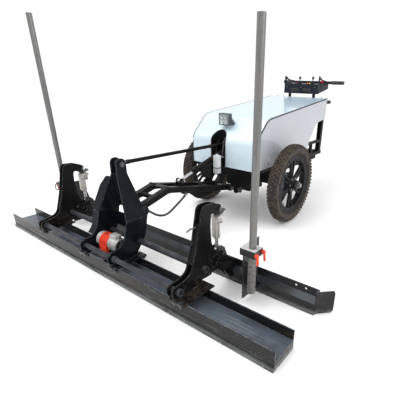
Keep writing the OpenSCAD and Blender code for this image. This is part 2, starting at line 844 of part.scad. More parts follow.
module rear_frame() {
    post = 44;
    color([0.07, 0.07, 0.08]) {
        for (s = [-1, 1]) {
            x = s * frame_x;
            block([x - post / 2, 2330, 430], [x + post / 2, 2374, 940]);
            block([min(x, s * (half_hood - hood_t)), 2340, 820], [max(x, s * (half_hood - hood_t)), 2364, 860]);
            beside = s * (rail_x + 37);
            block([beside - 12, 2020, 430], [beside + 12, 2330, 462]);
            block([beside - 12, 2130, 462], [beside + 12, 2160, 556]);
            block([beside - 12, 2020, 556], [beside + 12, 2330, 582]);
        }
        // Deck behind the hood and the pedestal of the console
        block([-frame_x - 22, 2392, 925], [frame_x + 22, 2500, 955]);
        for (s = [-1, 1]) block([s * frame_x - 22, 2374, 925], [s * frame_x + 22, 2392, 940]);
        block([-frame_x - 22, 2374, 430], [frame_x + 22, 2392, 462]);
        for (x = [-140, 140]) {
            translate([x, 2446, 955]) cylinder(d = 62, h = 12);
            translate([x, 2446, 967]) cylinder(d = 30, h = console_z - 967);
        }
        // Lugs that hold the hinge pins of the hood
        for (s = [-1, 1], e = [-1, 1])
            difference() {
                union() {
                    pin(s * 220 + e * 38, hinge, 18, 6);
                    block([s * 220 + e * 38 - 3, hinge.x, 925], [s * 220 + e * 38 + 3, hinge.x + 20, hinge.y + 2]);
                }
                pin(s * 220 + e * 38, hinge, 8 + fit, 10);
            }
    }
}

module axle_housing() {
    end = housing_end;
    color([0.09, 0.09, 0.10])
    difference() {
        union() {
            pin(0, axle, 80, 2 * end);
            for (s = [-1, 1]) {
                pin(s * (end - 6), axle, 120, 12);
                block([s * rail_x - 30, axle.x - 40, axle.y], [s * rail_x + 30, axle.x + 40, rail_z]);
            }
            block([-110, axle.x - 105, axle.y - 115], [110, axle.x + 105, axle.y + 70]);
        }
        pin(0, axle, 50, 2 * end + 2);
        block([-98, axle.x - 93, axle.y - 103], [98, axle.x + 93, axle.y + 58]);
        for (s = [-1, 1]) pin(s * end, axle, bearing_d + fit, 32);
    }
}

module wheel_bearings() {
    color([0.75, 0.76, 0.78])
    for (s = [-1, 1])
        difference() {
            pin(s * (housing_end - 8), axle, bearing_d, 16);
            pin(s * (housing_end - 8), axle, shaft_d + fit, 18);
        }
}
module linkage_pins() {
    color([0.70, 0.71, 0.72]) {
        pin(mech_x, boom_pivot, 32, 400);
        pin(mech_x, barrel_pin, pin_d, 88);
        pin(mech_x, link_pin, pin_d, 88);
        // Hinge pins of the hood
        for (s = [-1, 1]) pin(s * 220, hinge, 8, 90);
    }
}

// Side view of the hood's skin, from the foot of its front over the shoulder to the back
hood_line = eased([[hood_front, hood_base], brow[0], brow[1], [hood_rear - 12, hood_top]], [0, 90, 130, 0]);

module hood_cover() {
    w = hood_w - 12;
    color([0.86, 0.89, 0.93])
    difference() {
        union() {
            plate(0, w, strip(hood_line, hood_t));
            // Returned edges at both sides
            for (s = [-1, 1]) plate(s * (w / 2 - 1.25), 2.5, strip(hood_line, 18));
            // Knuckles on the hinge pins
            for (s = [-1, 1]) {
                pin(s * 220, hinge, 18, 60);
                block([s * 220 - 30, hood_rear - 40, hood_top - 9], [s * 220 + 30, hood_rear - 6, hood_top - 3]);
            }
        }
        for (s = [-1, 1]) pin(s * 220, hinge, 8 + fit, 100);
        // Arched slot for the top link and the cylinder
        translate([slot_x, hood_front - 50, 0]) rotate([-90, 0, 0]) linear_extrude(200)
            union() {
                translate([-slot_w / 2, -slot_top + slot_w / 2]) square([slot_w, 400]);
                translate([0, -slot_top + slot_w / 2]) circle(d = slot_w, $fn = 64);
            }
    }
}

// Fixed sides of the hood, arched over the rear frame
module side_panel(s) {
    skin = [for (p = hood_line) [p.x, p.y - 1]];
    arch = eased([[hood_rear - 12, 785], [2175, 760], [2040, 590], [2015, hood_base]], [0, 90, 150, 0]);
    color([0.87, 0.90, 0.94])
        plate(s * (half_hood - hood_t / 2), hood_t, concat(skin, arch));
}

module side_panel_left() {
    side_panel(-1);
}

module side_panel_right() {
    side_panel(1);
}

module lamp_bracket() {
    arm_x = lamp_w / 2 + 6;
    color([0.30, 0.31, 0.33])
    translate([lamp_x, lamp_pivot.x, lamp_pivot.y]) rotate([brow_lean, 0, 0]) {
        for (s = [-1, 1])
            difference() {
                block([s * arm_x - 1.5, -10, -lamp_reach], [s * arm_x + 1.5, 10, 10]);
                pin(s * arm_x, [0, 0], 8 + fit, 6);
            }
        block([-arm_x, -14, -lamp_reach], [arm_x, 14, 3 - lamp_reach]);
    }
}

module work_lamp() {
    color([0.42, 0.44, 0.47])
    translate([lamp_x, lamp_pivot.x, lamp_pivot.y]) {
        block([-lamp_w / 2, -30, -46], [lamp_w / 2, 4, 46]);
        for (x = [-40:16:40]) block([x - 2, 4, -40], [x + 2, 20, 40]);
        pin(0, [0, 0], 8, lamp_w + 18);
    }
}

module rim(s) {
    spokes = 6;
    x = s * wheel_x;
    color([0.07, 0.07, 0.08])
    translate([x, axle.x, axle.y]) rotate([0, 90, 0]) {
        rotate_extrude($fn = 96)
            polygon([[208, -26], [214, -30], [rim_r - 4, -33], [rim_r + 5, -33], [rim_r + 5, -28],
                     [rim_r, -27], [rim_r - 14, 0], [rim_r, 27], [rim_r + 5, 28], [rim_r + 5, 33],
                     [rim_r - 4, 33], [214, 30], [208, 26]]);
        difference() {
            union() {
                translate([0, 0, -64]) cylinder(d = 78, h = 128);
                translate([0, 0, -22]) cylinder(d = 130, h = 44);
                for (i = [0:spokes - 1], fork = [-1, 1])
                    rotate([0, 0, 360 / spokes * i + fork * 4.5]) translate([58, fork * 3 - 8, -11])
                        rotate([0, 0, fork * 4]) cube([154, 15, 22]);
            }
            translate([0, 0, -70]) cylinder(d = shaft_d + fit, h = 140);
        }
    }
}

module rim_left() {
    rim(-1);
}

module rim_right() {
    rim(1);
}

// Tyre: an open ring whose beads sit between the rim's lips
module tyre(s) {
    mid = 292;
    rise = tyre_d / 2 - mid;
    wall = 9;
    function shell(inset) = [for (a = [-125:12.5:125])
        [mid + (rise - inset) * cos(a), (tyre_w / 2 - inset) * sin(a)]];
    outside = shell(0);
    inside = shell(wall);
    n = len(inside) - 1;
    color([0.13, 0.12, 0.11])
    translate([s * wheel_x, axle.x, axle.y]) rotate([0, 90, 0])
        rotate_extrude($fn = 96)
            polygon(concat([[rim_r + 0.2, -26.5], [rim_r + 7, -27]], outside,
                           [[rim_r + 7, 27], [rim_r + 0.2, 26.5], [rim_r + 0.2, 18]],
                           [for (i = [n:-1:0]) inside[i]], [[rim_r + 0.2, -18]]));
}

module tyre_left() {
    tyre(-1);
}

module tyre_right() {
    tyre(1);
}

module axle_shaft(s) {
    color([0.55, 0.56, 0.58]) {
        pin(s * (shaft_end + 60) / 2, axle, shaft_d, shaft_end - 60);
        pin(s * (wheel_x + 72), axle, 54, 16, 6);
    }
}

module axle_shaft_left() {
    axle_shaft(-1);
}

module axle_shaft_right() {
    axle_shaft(1);
}

module engine() {
    color([0.20, 0.20, 0.21]) {
        block([-130, 1690, 421], [130, 1910, 600]);
        block([-90, 1720, 600], [90, 1880, 720]);
        for (z = [612:18:702]) block([-104, 1706, z], [104, 1894, z + 6]);
        pin(150, [1800, 520], 170, 40);
        pin(-170, [1800, 640], 90, 80);
    }
}

module hydraulic_power_unit() {
    color([0.24, 0.24, 0.26]) {
        block([-60, 1622, rail_top], [60, 1668, 600]);
        pin(110, [1645, 540], 80, 100);
        block([-100, 1626, 520], [-60, 1664, 590]);
    }
}

// Pale tank that shows in the slot of the hood
module hydraulic_tank() {
    end = cylinder_hose_route[len(cylinder_hose_route) - 1];
    color([0.80, 0.82, 0.82]) {
        block([-140, 1275, rail_top], [80, 1400, 640]);
        translate(end) rotate([-90, 0, 0]) cylinder(d = 18, h = 12);
    }
}

module battery() {
    color([0.10, 0.10, 0.12]) {
        block([-120, 2000, 421], [120, 2170, 600]);
        for (x = [-90, 90]) translate([x, 2030, 600]) cylinder(d = 18, h = 14);
    }
}

// Console: a wedge-shaped box whose side plates rise into guards
module console_box() {
    half = console_w / 2;
    side = [[console_y, console_z], [console_rear, console_z + 48], [console_rear, console_top],
            [console_y, console_top]];
    inner = [[console_y + 3, console_z + 4], [console_rear - 3, console_z + 51], [console_rear - 3, console_top - 3],
             [console_y + 3, console_top - 3]];
    cheek = [[console_y, console_z], [console_rear, console_z + 48], [console_rear, console_top + 4],
             [2640, 1132], [2500, 1150], [2438, cheek_top], [console_y + 2, cheek_top]];
    window = [[2448, 1116], [2628, 1112], [2622, 1122], [2496, 1138], [2448, 1150]];
    color([0.11, 0.12, 0.15]) {
        difference() {
            plate(0, console_w - 6, side);
            plate(0, console_w - 12, inner);
        }
        for (x = [-140, 140]) translate([x, 2446, console_z]) cylinder(d = 50, h = 12);
        for (s = [-1, 1])
            difference() {
                plate(s * (half - 1.5), 3, cheek);
                plate(s * (half - 1.5), 5, window);
            }
        for (x = [-60, 90]) translate([x, 2500, console_top]) cylinder(d = 44, h = 10);
        translate([150, 2600, console_top])
            difference() {
                cylinder(d = 40, h = 8);
                translate([0, 0, 1]) cylinder(d = 17, h = 8);
            }
        for (x = [-150, -110]) block([x - 8, 2590, console_top], [x + 8, 2614, console_top + 9]);
    }
}

module handlebar() {
    reach = 345;
    color([0.10, 0.10, 0.11]) {
        pin(0, bar, bar_d, 2 * reach);
        for (s = [-1, 1]) {
            pin(s * reach, bar, 24, 14);
            block([s * 160 - 5, console_rear, bar.y - 32], [s * 160 + 5, bar.x, bar.y - 2]);
        }
    }
}

// Control lever on a ball joint in the console's top
module control_lever(x) {
    foot = [2500, console_top + 10];
    color([0.10, 0.10, 0.11]) {
        translate([x, foot.x, foot.y + 8]) sphere(d = 15);
        pin(x, [foot.x, foot.y + 8], 8, 22);
        translate([x, foot.x, foot.y + 8]) cylinder(d = 8, h = 34);
        translate([x, foot.x, foot.y + 40]) cylinder(d = 20, h = 16);
    }
}

module lift_lever() {
    control_lever(-60);
}

module drive_lever() {
    control_lever(90);
}

module stop_button() {
    color([0.85, 0.10, 0.08])
    translate([150, 2600, console_top + 8]) {
        translate([0, 0, -1]) cylinder(d = 16, h = 15);
        translate([0, 0, 13]) cylinder(d = 34, h = 12);
    }
}

// ---------------------------------------------------------------- hoses and leads

module boom_hose() {
    color([0.06, 0.06, 0.06]) swept(boom_hose_route, boom_hose_d);
}

module cylinder_hose() {
    color([0.06, 0.06, 0.06]) swept(cylinder_hose_route, cylinder_hose_d, [1, 0, -1]);
}

module head_leads() {
    color([0.06, 0.06, 0.06]) {
        swept(motor_lead_route, lead_d, [0, 1, 0]);
        swept(left_lead_route, lead_d);
        swept(right_lead_route, lead_d);
    }
}

chassis_frame();
linkage_tower();
rear_frame();
axle_housing();
side_panel_left();
side_panel_right();
engine();
hydraulic_power_unit();
hydraulic_tank();
battery();
console_box();
handlebar();
wheel_bearings();
linkage_pins();
hood_cover();
lamp_bracket();
work_lamp();
rim_left();
rim_right();
tyre_left();
tyre_right();
axle_shaft_left();
axle_shaft_right();
boom_frame();
boom_pins();
top_link();
lift_barrel();
lift_rod();
centre_leg_left();
centre_leg_right();
pan();
front_tube();
cross_tube();
tower_left();
tower_right();
pan_bolts();
head_pins();
vibrator_housing();
vibrator_end_caps();
vibrator_terminal_box();
vibrator_shaft();
actuators();
actuator_rods();
lower_links();
upper_links();
plough_beam();
mast_sockets();
plough_pins();
mast_left();
mast_right();
clamp_lever_left_front();
clamp_lever_left_rear();
clamp_lever_right_front();
clamp_lever_right_rear();
lift_lever();
drive_lever();
stop_button();
boom_hose();
cylinder_hose();
head_leads();
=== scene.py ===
import random
from math import cos, pi, radians, sin, tan

import bmesh
import bpy
from mathutils import Matrix, Vector


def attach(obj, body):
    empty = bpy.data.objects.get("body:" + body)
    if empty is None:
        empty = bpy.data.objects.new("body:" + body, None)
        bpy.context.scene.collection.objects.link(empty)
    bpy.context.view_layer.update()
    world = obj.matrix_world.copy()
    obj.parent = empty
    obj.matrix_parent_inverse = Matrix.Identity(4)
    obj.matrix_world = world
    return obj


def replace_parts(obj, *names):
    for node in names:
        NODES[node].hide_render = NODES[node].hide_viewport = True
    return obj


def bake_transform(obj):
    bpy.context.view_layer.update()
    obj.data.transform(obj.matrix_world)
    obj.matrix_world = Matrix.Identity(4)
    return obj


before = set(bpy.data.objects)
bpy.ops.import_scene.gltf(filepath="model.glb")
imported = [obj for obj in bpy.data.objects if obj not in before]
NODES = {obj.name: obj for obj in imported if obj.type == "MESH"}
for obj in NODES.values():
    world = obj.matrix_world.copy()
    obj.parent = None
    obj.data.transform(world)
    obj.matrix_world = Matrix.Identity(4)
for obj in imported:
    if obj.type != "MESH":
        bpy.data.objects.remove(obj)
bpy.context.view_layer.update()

UP, DOWN, RIGHT, FRONT = (0, 0, 1), (0, 0, -1), (1, 0, 0), (0, -1, 0)
SIDES = {"left": -1, "right": 1}
random.seed(7)


def placed(name, data):
    """A new object in the scene."""
    piece = bpy.data.objects.new(name, data)
    bpy.context.scene.collection.objects.link(piece)
    return piece


# ---- camera, light and floor

CAMERA_PLACE = Vector((1.741, -1.039, 1.167))
CAMERA_AZIMUTH = 36.0
CAMERA_DROP = 24.58
CAMERA_ROLL = 1.06
CAMERA_LENS = 30.0
CAMERA_SHIFT = (-0.098, 0.072)
LIGHT_AIM = Vector((0, 0.9, 0.3))
FLOOR_HALF = 40


def make_camera():
    azimuth, drop, roll = (radians(a) for a in (CAMERA_AZIMUTH, CAMERA_DROP, CAMERA_ROLL))
    ahead = Vector((-sin(azimuth) * cos(drop), cos(azimuth) * cos(drop), -sin(drop)))
    right = Vector((cos(azimuth), sin(azimuth), 0))
    up = right.cross(ahead)
    right, up = cos(roll) * right + sin(roll) * up, cos(roll) * up - sin(roll) * right
    data = bpy.data.cameras.new("camera")
    data.lens = CAMERA_LENS
    data.shift_x, data.shift_y = CAMERA_SHIFT
    data.clip_end = 100
    camera = placed("camera", data)
    turn = Matrix((right, up, -ahead)).transposed().to_4x4()
    camera.matrix_world = Matrix.Translation(CAMERA_PLACE) @ turn
    bpy.context.scene.camera = camera


def make_light():
    """White surroundings, a large key light above the head and a weaker light from the right."""
    world = bpy.data.worlds.new("sky")
    world.use_nodes = True
    sky = world.node_tree.nodes["Background"]
    sky.inputs["Color"].default_value = (1.0, 1.0, 1.0, 1)
    sky.inputs["Strength"].default_value = 1.05
    bpy.context.scene.world = world
    bpy.context.scene.view_settings.view_transform = "Standard"
    for name, place, size, power in (
        ("key", (-1.5, -1.0, 5.0), 4.0, 150),
        ("side", (5.0, 1.0, 3.0), 3.0, 60),
    ):
        data = bpy.data.lights.new(name, "AREA")
        data.size = size
        data.energy = power
        lamp = placed(name, data)
        lamp.location = place
        lamp.rotation_euler = (LIGHT_AIM - Vector(place)).to_track_quat("-Z", "Y").to_euler()


def make_floor():
    grid = bmesh.new()
    bmesh.ops.create_grid(grid, x_segments=1, y_segments=1, size=FLOOR_HALF)
    mesh = bpy.data.meshes.new("floor")
    grid.to_mesh(mesh)
    grid.free()
    floor = placed("floor", mesh)
    floor.location.z = -0.0005
    paper = Surface("floor_paper", (0.97, 0.97, 0.97), 0.95)
    floor.data.materials.append(paper.material)


# ---- materials

class Surface:
    """One material: a Principled shader whose colour, roughness and bump are built up in layers."""

    def __init__(self, name, colour, roughness, metallic=0.0, coat=0.0, coat_roughness=0.1):
        self.material = bpy.data.materials.new(name)
        self.material.use_nodes = True
        self.tree = self.material.node_tree
        self.shader = self.tree.nodes["Principled BSDF"]
        self.join(metallic, self.shader, "Metallic")
        self.join(coat, self.shader, "Coat Weight")
        self.join(coat_roughness, self.shader, "Coat Roughness")
        self.join(colour, self.shader, "Base Color")
        self.join(roughness, self.shader, "Roughness")
        self.colour = colour
        self.rough = roughness
        self.normal = None
        self.place = None
        self.material.diffuse_color = (*colour, 1)

    def add(self, kind, **settings):
        node = self.tree.nodes.new(kind)
        for key, value in settings.items():
            setattr(node, key, value)
        return node

    def join(self, source, node, socket):
        """A number, a colour or another node's output goes into a socket."""
        if isinstance(source, (int, float)):
            node.inputs[socket].default_value = source
        elif isinstance(source, tuple):
            node.inputs[socket].default_value = (*source, 1) if len(source) == 3 else source
        else:
            self.tree.links.new(source, node.inputs[socket])

    def where(self, stretch=(1, 1, 1)):
        if self.place is None:
            self.place = self.add("ShaderNodeTexCoord").outputs["Object"]
        if stretch == (1, 1, 1):
            return self.place
        scaled = self.add("ShaderNodeMapping")
        scaled.inputs["Scale"].default_value = stretch
        self.join(self.place, scaled, "Vector")
        return scaled.outputs["Vector"]

    def noise(self, scale, detail=3.0, low=0.4, high=0.6, stretch=(1, 1, 1)):
        """Noise from 0 to 1 whose middle stretch, low to high, is spread over the whole range."""
        node = self.add("ShaderNodeTexNoise")
        self.join(scale, node, "Scale")
        self.join(detail, node, "Detail")
        self.join(self.where(stretch), node, "Vector")
        return self.spread(node.outputs["Fac"], low, high)

    def spread(self, value, low, high, to_low=0.0, to_high=1.0):
        node = self.add("ShaderNodeMapRange")
        limits = {"From Min": low, "From Max": high, "To Min": to_low, "To Max": to_high}
        for socket, number in limits.items():
            self.join(number, node, socket)
        self.join(value, node, "Value")
        return node.outputs["Result"]

    def times(self, a, b, operation="MULTIPLY"):
        node = self.add("ShaderNodeMath", operation=operation)
        self.join(a, node, 0)
        self.join(b, node, 1)
        return node.outputs[0]

    def part(self, source, axis):
        """One axis of a vector."""
        node = self.add("ShaderNodeSeparateXYZ")
        self.join(source, node, 0)
        return node.outputs[axis]

    def mixed(self, mask, first, second, colours=False):
        """The first where mask is 0 and the second where it is 1."""
        node = self.add("ShaderNodeMix", data_type="RGBA" if colours else "FLOAT")
        socket = 6 if colours else 2
        self.join(mask, node, "Factor")
        self.join(first, node, socket)
        self.join(second, node, socket + 1)
        return node.outputs[2 if colours else 0]

    def rounded(self, width, samples):
        """The surface's normal as if its edges were rounded."""
        node = self.add("ShaderNodeBevel", samples=samples)
        self.join(width, node, "Radius")
        return node.outputs["Normal"]

    def facing_up(self, low=0.3, high=0.95):
        normal = self.add("ShaderNodeNewGeometry").outputs["Normal"]
        return self.spread(self.part(normal, "Z"), low, high)

    def below(self, height, fade):
        """1 under height, 0 above height + fade, in metres."""
        return self.spread(self.part(self.where(), "Z"), height, height + fade, 1.0, 0.0)

    def around(self, x, y, radius, fade=0.0004):
        """1 within radius of an upright line."""
        across = self.times(self.part(self.where(), "X"), x, "SUBTRACT")
        along = self.times(self.part(self.where(), "Y"), y, "SUBTRACT")
        square = self.times(self.times(across, across), self.times(along, along), "ADD")
        return self.spread(self.times(square, 0.5, "POWER"), radius, radius + fade, 1.0, 0.0)

    def edges(self, width=0.003, low=0.05, high=0.45):
        """1 along the sharp edges of the piece."""
        apart = self.add("ShaderNodeVectorMath", operation="DISTANCE")
        self.join(self.rounded(width, 6), apart, 0)
        self.join(self.add("ShaderNodeNewGeometry").outputs["Normal"], apart, 1)
        return self.spread(apart.outputs["Value"], low, high)

    def tint(self, mask, colour, roughness=None):
        """Where mask is 1 the colour is this one, and the roughness too."""
        self.colour = self.mixed(mask, self.colour, colour, colours=True)
        self.join(self.colour, self.shader, "Base Color")
        if roughness is not None:
            self.roughen(mask, roughness)
        return self

    def roughen(self, mask, roughness):
        self.rough = self.mixed(mask, self.rough, roughness)
        self.join(self.rough, self.shader, "Roughness")
        return self

    def shine(self, level):
        self.join(level, self.shader, "Specular IOR Level")
        return self

    def soften(self, width=0.0015):
        """Edges catch the light as if they were rounded."""
        self.normal = self.rounded(width, 4)
        self.join(self.normal, self.shader, "Normal")
        return self

    def bump(self, height, strength=0.3, distance=0.001):
        node = self.add("ShaderNodeBump")
        self.join(strength, node, "Strength")
        self.join(distance, node, "Distance")
        self.join(height, node, "Height")
        if self.normal is not None:
            self.join(self.normal, node, "Normal")
        self.normal = node.outputs["Normal"]
        self.join(self.normal, self.shader, "Normal")
        return self


DUST = (0.20, 0.17, 0.14)
MUD = (0.16, 0.115, 0.075)
CEMENT = (0.36, 0.34, 0.31)
STEEL = (0.30, 0.30, 0.31)
CLOUDS = ((0.90, 0.95, 0.97), (1.0, 0.96, 0.99))


def enamel(name, colour, roughness=0.3, dust=0.25, wear_and_edge_highlight=0.35, mud=0.0, gloss=0.03):
    """Sprayed enamel with orange peel, settled dust, a painted highlight along every sharp edge, rubbed edges
    and splashes near the ground.
    """
    s = Surface(name, colour, roughness, coat=gloss, coat_roughness=0.08)
    s.shine(0.07).soften()
    lighter = tuple(min(1, c * 1.5 + 0.003) for c in colour)
    s.tint(s.noise(5, 4, 0.35, 0.7), lighter)
    s.roughen(s.noise(22, 4, 0.42, 0.62), roughness + 0.16)
    s.tint(s.times(s.times(s.facing_up(), s.noise(16, 5, 0.42, 0.66)), dust), DUST, 0.75)
    if wear_and_edge_highlight:
        # Every sharp edge is painted lighter than the enamel: a painted highlight. The bare steel patches
        # after it are real rubbed wear.
        s.tint(s.times(s.edges(0.0018), wear_and_edge_highlight * 0.8), tuple(c + 0.07 for c in colour), 0.35)
        edge_mask = s.times(s.edges(), s.noise(70, 3, 0.52, 0.66))
        s.tint(s.times(edge_mask, wear_and_edge_highlight), STEEL, 0.4)
    scratch = s.noise(240, 2, 0.66, 0.72, (1, 0.08, 1))
    s.tint(s.times(scratch, 0.25), lighter, 0.5)
    if mud:
        splash = s.times(s.below(0.03, 0.22), s.noise(40, 5, 0.45, 0.6))
        s.tint(s.times(splash, mud), MUD, 0.9)
    s.bump(s.noise(420, 2, 0.3, 0.7), 0.06, 0.0006)
    return s.material


def pan_enamel():
    """Blue-black enamel made glossier by wet concrete on its upward faces, which also carry a painted
    blue-grey sky reflection, with dried slurry and bare steel at the foot.
    """
    s = Surface("pan_enamel", (0.006, 0.007, 0.007), 0.20, coat=0.10, coat_roughness=0.05)
    s.shine(0.15).soften()
    s.tint(s.noise(3, 4, 0.35, 0.65), (0.014, 0.015, 0.014), 0.26)
    # Upward faces: the lower roughness is real polish, the blue-grey colour is a painted reflection of the
    # sky.
    polish_and_sky_reflection = s.times(s.facing_up(0.7, 0.95), s.noise(4, 4, 0.25, 0.5))
    s.tint(polish_and_sky_reflection, (0.082, 0.100, 0.125), 0.15)
    s.tint(s.times(s.noise(5, 6, 0.52, 0.66, (1, 2.4, 2)), 0.45), (0.055, 0.045, 0.033), 0.5)
    s.tint(s.times(s.noise(110, 4, 0.65, 0.72), 0.35), CEMENT, 0.8)
    s.tint(s.times(s.noise(60, 3, 0.60, 0.66, (0.06, 1, 1)), 0.25), STEEL, 0.35)
    edge_mask = s.times(s.edges(0.004), s.noise(40, 4, 0.4, 0.6))
    s.tint(s.times(edge_mask, 0.6), STEEL, 0.35)
    scraped = s.times(s.below(0.018, 0.012), s.noise(24, 5, 0.30, 0.62, (0.3, 1, 1)))
    s.tint(scraped, (0.15, 0.158, 0.155), 0.36)
    s.bump(s.noise(300, 3, 0.3, 0.7), 0.10, 0.0008)
    return s.material


def plough_enamel():
    """Black blade whose upward ledges are glossier from concrete and painted blue-grey as a sky reflection,
    with slurry drying on its face.
    """
    s = Surface("plough_enamel", (0.009, 0.009, 0.010), 0.26, coat=0.1, coat_roughness=0.08)
    s.shine(0.2).soften()
    s.tint(s.noise(4, 4, 0.38, 0.66), (0.022, 0.024, 0.027), 0.3)
    # Upward ledges painted blue-grey: a painted sky reflection; the lower roughness is real polish.
    s.tint(s.times(s.facing_up(0.5, 0.9), s.noise(5, 4, 0.25, 0.55)), (0.055, 0.066, 0.084), 0.22)
    s.tint(s.times(s.noise(6, 6, 0.54, 0.68, (1, 2, 2)), 0.4), (0.060, 0.052, 0.043), 0.55)
    # All sharp edges painted lighter grey: a painted highlight.
    s.tint(s.times(s.edges(0.002), 0.4), (0.10, 0.10, 0.105), 0.35)
    foot = s.times(s.below(0.012, 0.020), s.noise(30, 5, 0.35, 0.62, (0.3, 1, 1)))
    s.tint(s.times(foot, 0.8), (0.13, 0.13, 0.125), 0.4)
    s.bump(s.noise(320, 3, 0.3, 0.7), 0.10, 0.0007)
    return s.material


def pearl_coat(name, colour, top=None, dirt=0.2):
    """Pearl white powder coat on thin sheet, with faint bluish and lilac clouds; faces that point straight up
    can take a bluer, darker colour as a painted sky reflection.
    """
    s = Surface(name, colour, 0.26, coat=0.5, coat_roughness=0.08)
    bluish, lilac = (tuple(c * k for c, k in zip(colour, cloud)) for cloud in CLOUDS)
    s.tint(s.noise(1.6, 2, 0.40, 0.62), bluish)
    s.tint(s.times(s.noise(2.4, 2, 0.52, 0.66), 0.6), lilac)
    if top:
        # Faces that point straight up take the given colour: a painted sky reflection, bluer and darker.
        s.tint(s.facing_up(0.90, 0.985), top)
    grime = s.times(s.below(0.50, 0.16), s.noise(14, 5, 0.42, 0.66))
    s.tint(s.times(grime, dirt), (0.42, 0.38, 0.33), 0.7)
    s.bump(s.noise(2.2, 2, 0.3, 0.7), 0.12, 0.006)
    return s.material


def galvanised(name, colour=(0.185, 0.184, 0.181), dirt=0.3):
    """Hot-dip zinc: crystal spangle, long drawing marks and a dull bloom."""
    s = Surface(name, colour, 0.42, metallic=0.75)
    cells = s.add("ShaderNodeTexVoronoi")
    cells.inputs["Scale"].default_value = 95
    s.join(s.where(), cells, "Vector")
    spangle = s.add("ShaderNodeSeparateColor")
    s.join(cells.outputs["Color"], spangle, 0)
    s.tint(s.times(spangle.outputs[0], 0.45), tuple(c * 1.3 for c in colour), 0.36)
    s.tint(s.times(s.noise(60, 4, 0.45, 0.65, (1, 1, 0.05)), 0.6), tuple(c * 0.72 for c in colour), 0.5)
    s.tint(s.times(s.noise(9, 5, 0.48, 0.66), dirt), (0.20, 0.185, 0.16), 0.7)
    s.bump(spangle.outputs[1], 0.12, 0.0005)
    s.bump(s.noise(260, 3, 0.3, 0.7, (1, 1, 0.1)), 0.15, 0.0006)
    return s.material


def metal(name, colour, roughness, grain=(1, 1, 1), grain_scale=300, stain=0.25, metallic=1.0):
    """Bare or plated metal with its machining grain and handling stains."""
    s = Surface(name, colour, roughness, metallic=metallic)
    s.tint(s.noise(18, 4, 0.42, 0.66), tuple(c * 0.82 for c in colour), roughness + 0.08)
    s.tint(s.times(s.noise(45, 5, 0.55, 0.68), stain), DUST, 0.7)
    s.bump(s.noise(grain_scale, 3, 0.3, 0.7, grain), 0.18, 0.0005)
    return s.material


def casting(name, colour, metallic=0.6, roughness=0.42):
    """Silver painted or rough cast metal."""
    s = Surface(name, colour, roughness, metallic=metallic)
    s.tint(s.noise(30, 5, 0.40, 0.66), tuple(c * 0.75 for c in colour), roughness + 0.12)
    s.tint(s.times(s.noise(12, 5, 0.55, 0.68), 0.5), (0.16, 0.14, 0.12), 0.8)
    # Every sharp edge is painted lighter: a painted highlight.
    edge_mask = s.times(s.edges(0.002), 0.5)
    s.tint(edge_mask, tuple(min(1, c * 1.25) for c in colour), 0.3)
    s.bump(s.noise(340, 4, 0.3, 0.7), 0.35, 0.0008)
    return s.material


def plastic(name, colour, roughness=0.45, dust=0.3, grain=700):
    """Moulded plastic with a fine spark-eroded grain."""
    s = Surface(name, colour, roughness)
    s.tint(s.noise(12, 3, 0.4, 0.65), tuple(min(1, c * 1.25 + 0.004) for c in colour), roughness + 0.08)
    s.tint(s.times(s.times(s.facing_up(), s.noise(24, 5, 0.45, 0.66)), dust), DUST, 0.8)
    s.bump(s.noise(grain, 2, 0.3, 0.7), 0.22, 0.0005)
    return s.material


def rubber(name, colour=(0.018, 0.018, 0.019), grain=(1, 1, 1)):
    """Dull black rubber with a little dust."""
    s = Surface(name, colour, 0.55)
    s.tint(s.noise(20, 4, 0.42, 0.64), (0.040, 0.039, 0.038), 0.7)
    s.tint(s.times(s.noise(60, 5, 0.52, 0.68), 0.25), DUST, 0.85)
    s.bump(s.noise(600, 2, 0.3, 0.7, grain), 0.25, 0.0006)
    return s.material


def tyre_rubber():
    """Black rubber caked with dry brown mud, most of it on the tread."""
    s = Surface("tyre_rubber", (0.020, 0.019, 0.018), 0.75)
    s.tint(s.noise(14, 5, 0.38, 0.62), (0.036, 0.031, 0.026), 0.85)
    s.tint(s.times(s.noise(28, 6, 0.44, 0.62), 0.7), (0.085, 0.063, 0.043), 0.92)
    s.tint(s.times(s.noise(90, 5, 0.54, 0.68), 0.6), (0.15, 0.115, 0.082), 0.95)
    s.bump(s.noise(120, 5, 0.3, 0.7), 0.5, 0.002)
    return s.material


def glass():
    """Clear glass of the work lamp."""
    s = Surface("lamp_glass", (0.78, 0.82, 0.84), 0.06, coat=1.0, coat_roughness=0.02)
    s.shader.inputs["Transmission Weight"].default_value = 0.85
    s.shader.inputs["IOR"].default_value = 1.46
    s.bump(s.noise(60, 2, 0.3, 0.7), 0.08, 0.001)
    return s.material


def socket_finish():
    """Black enamel channel and clamp whose sleeve round each mast is galvanised; the clamp's upward top faces
    and all sharp edges are painted light grey as highlights.
    """
    s = Surface("socket_finish", (0.011, 0.011, 0.012), 0.32, coat=0.1)
    s.shine(0.3).soften()
    s.tint(s.noise(9, 4, 0.4, 0.66), (0.024, 0.024, 0.025))
    for x in MASTS.values():
        sleeve = s.around(x, MAST_Y, 0.0236)
        s.tint(sleeve, (0.185, 0.183, 0.176), 0.45)
        s.tint(s.times(sleeve, s.noise(50, 5, 0.46, 0.64)), (0.125, 0.118, 0.105), 0.6)
    # Upward faces above 0.33 m painted light grey: a painted highlight on the clamp's top.
    top = s.times(s.facing_up(0.8, 0.95), s.times(s.below(0.330, 0.004), -1, "ADD"))
    s.tint(s.times(top, -1.0), (0.50, 0.50, 0.49), 0.4)
    # Sharp edges painted light grey: a painted highlight.
    s.tint(s.times(s.edges(), 0.5), (0.22, 0.22, 0.22), 0.4)
    s.bump(s.noise(300, 3, 0.3, 0.7), 0.12, 0.0006)
    return s.material


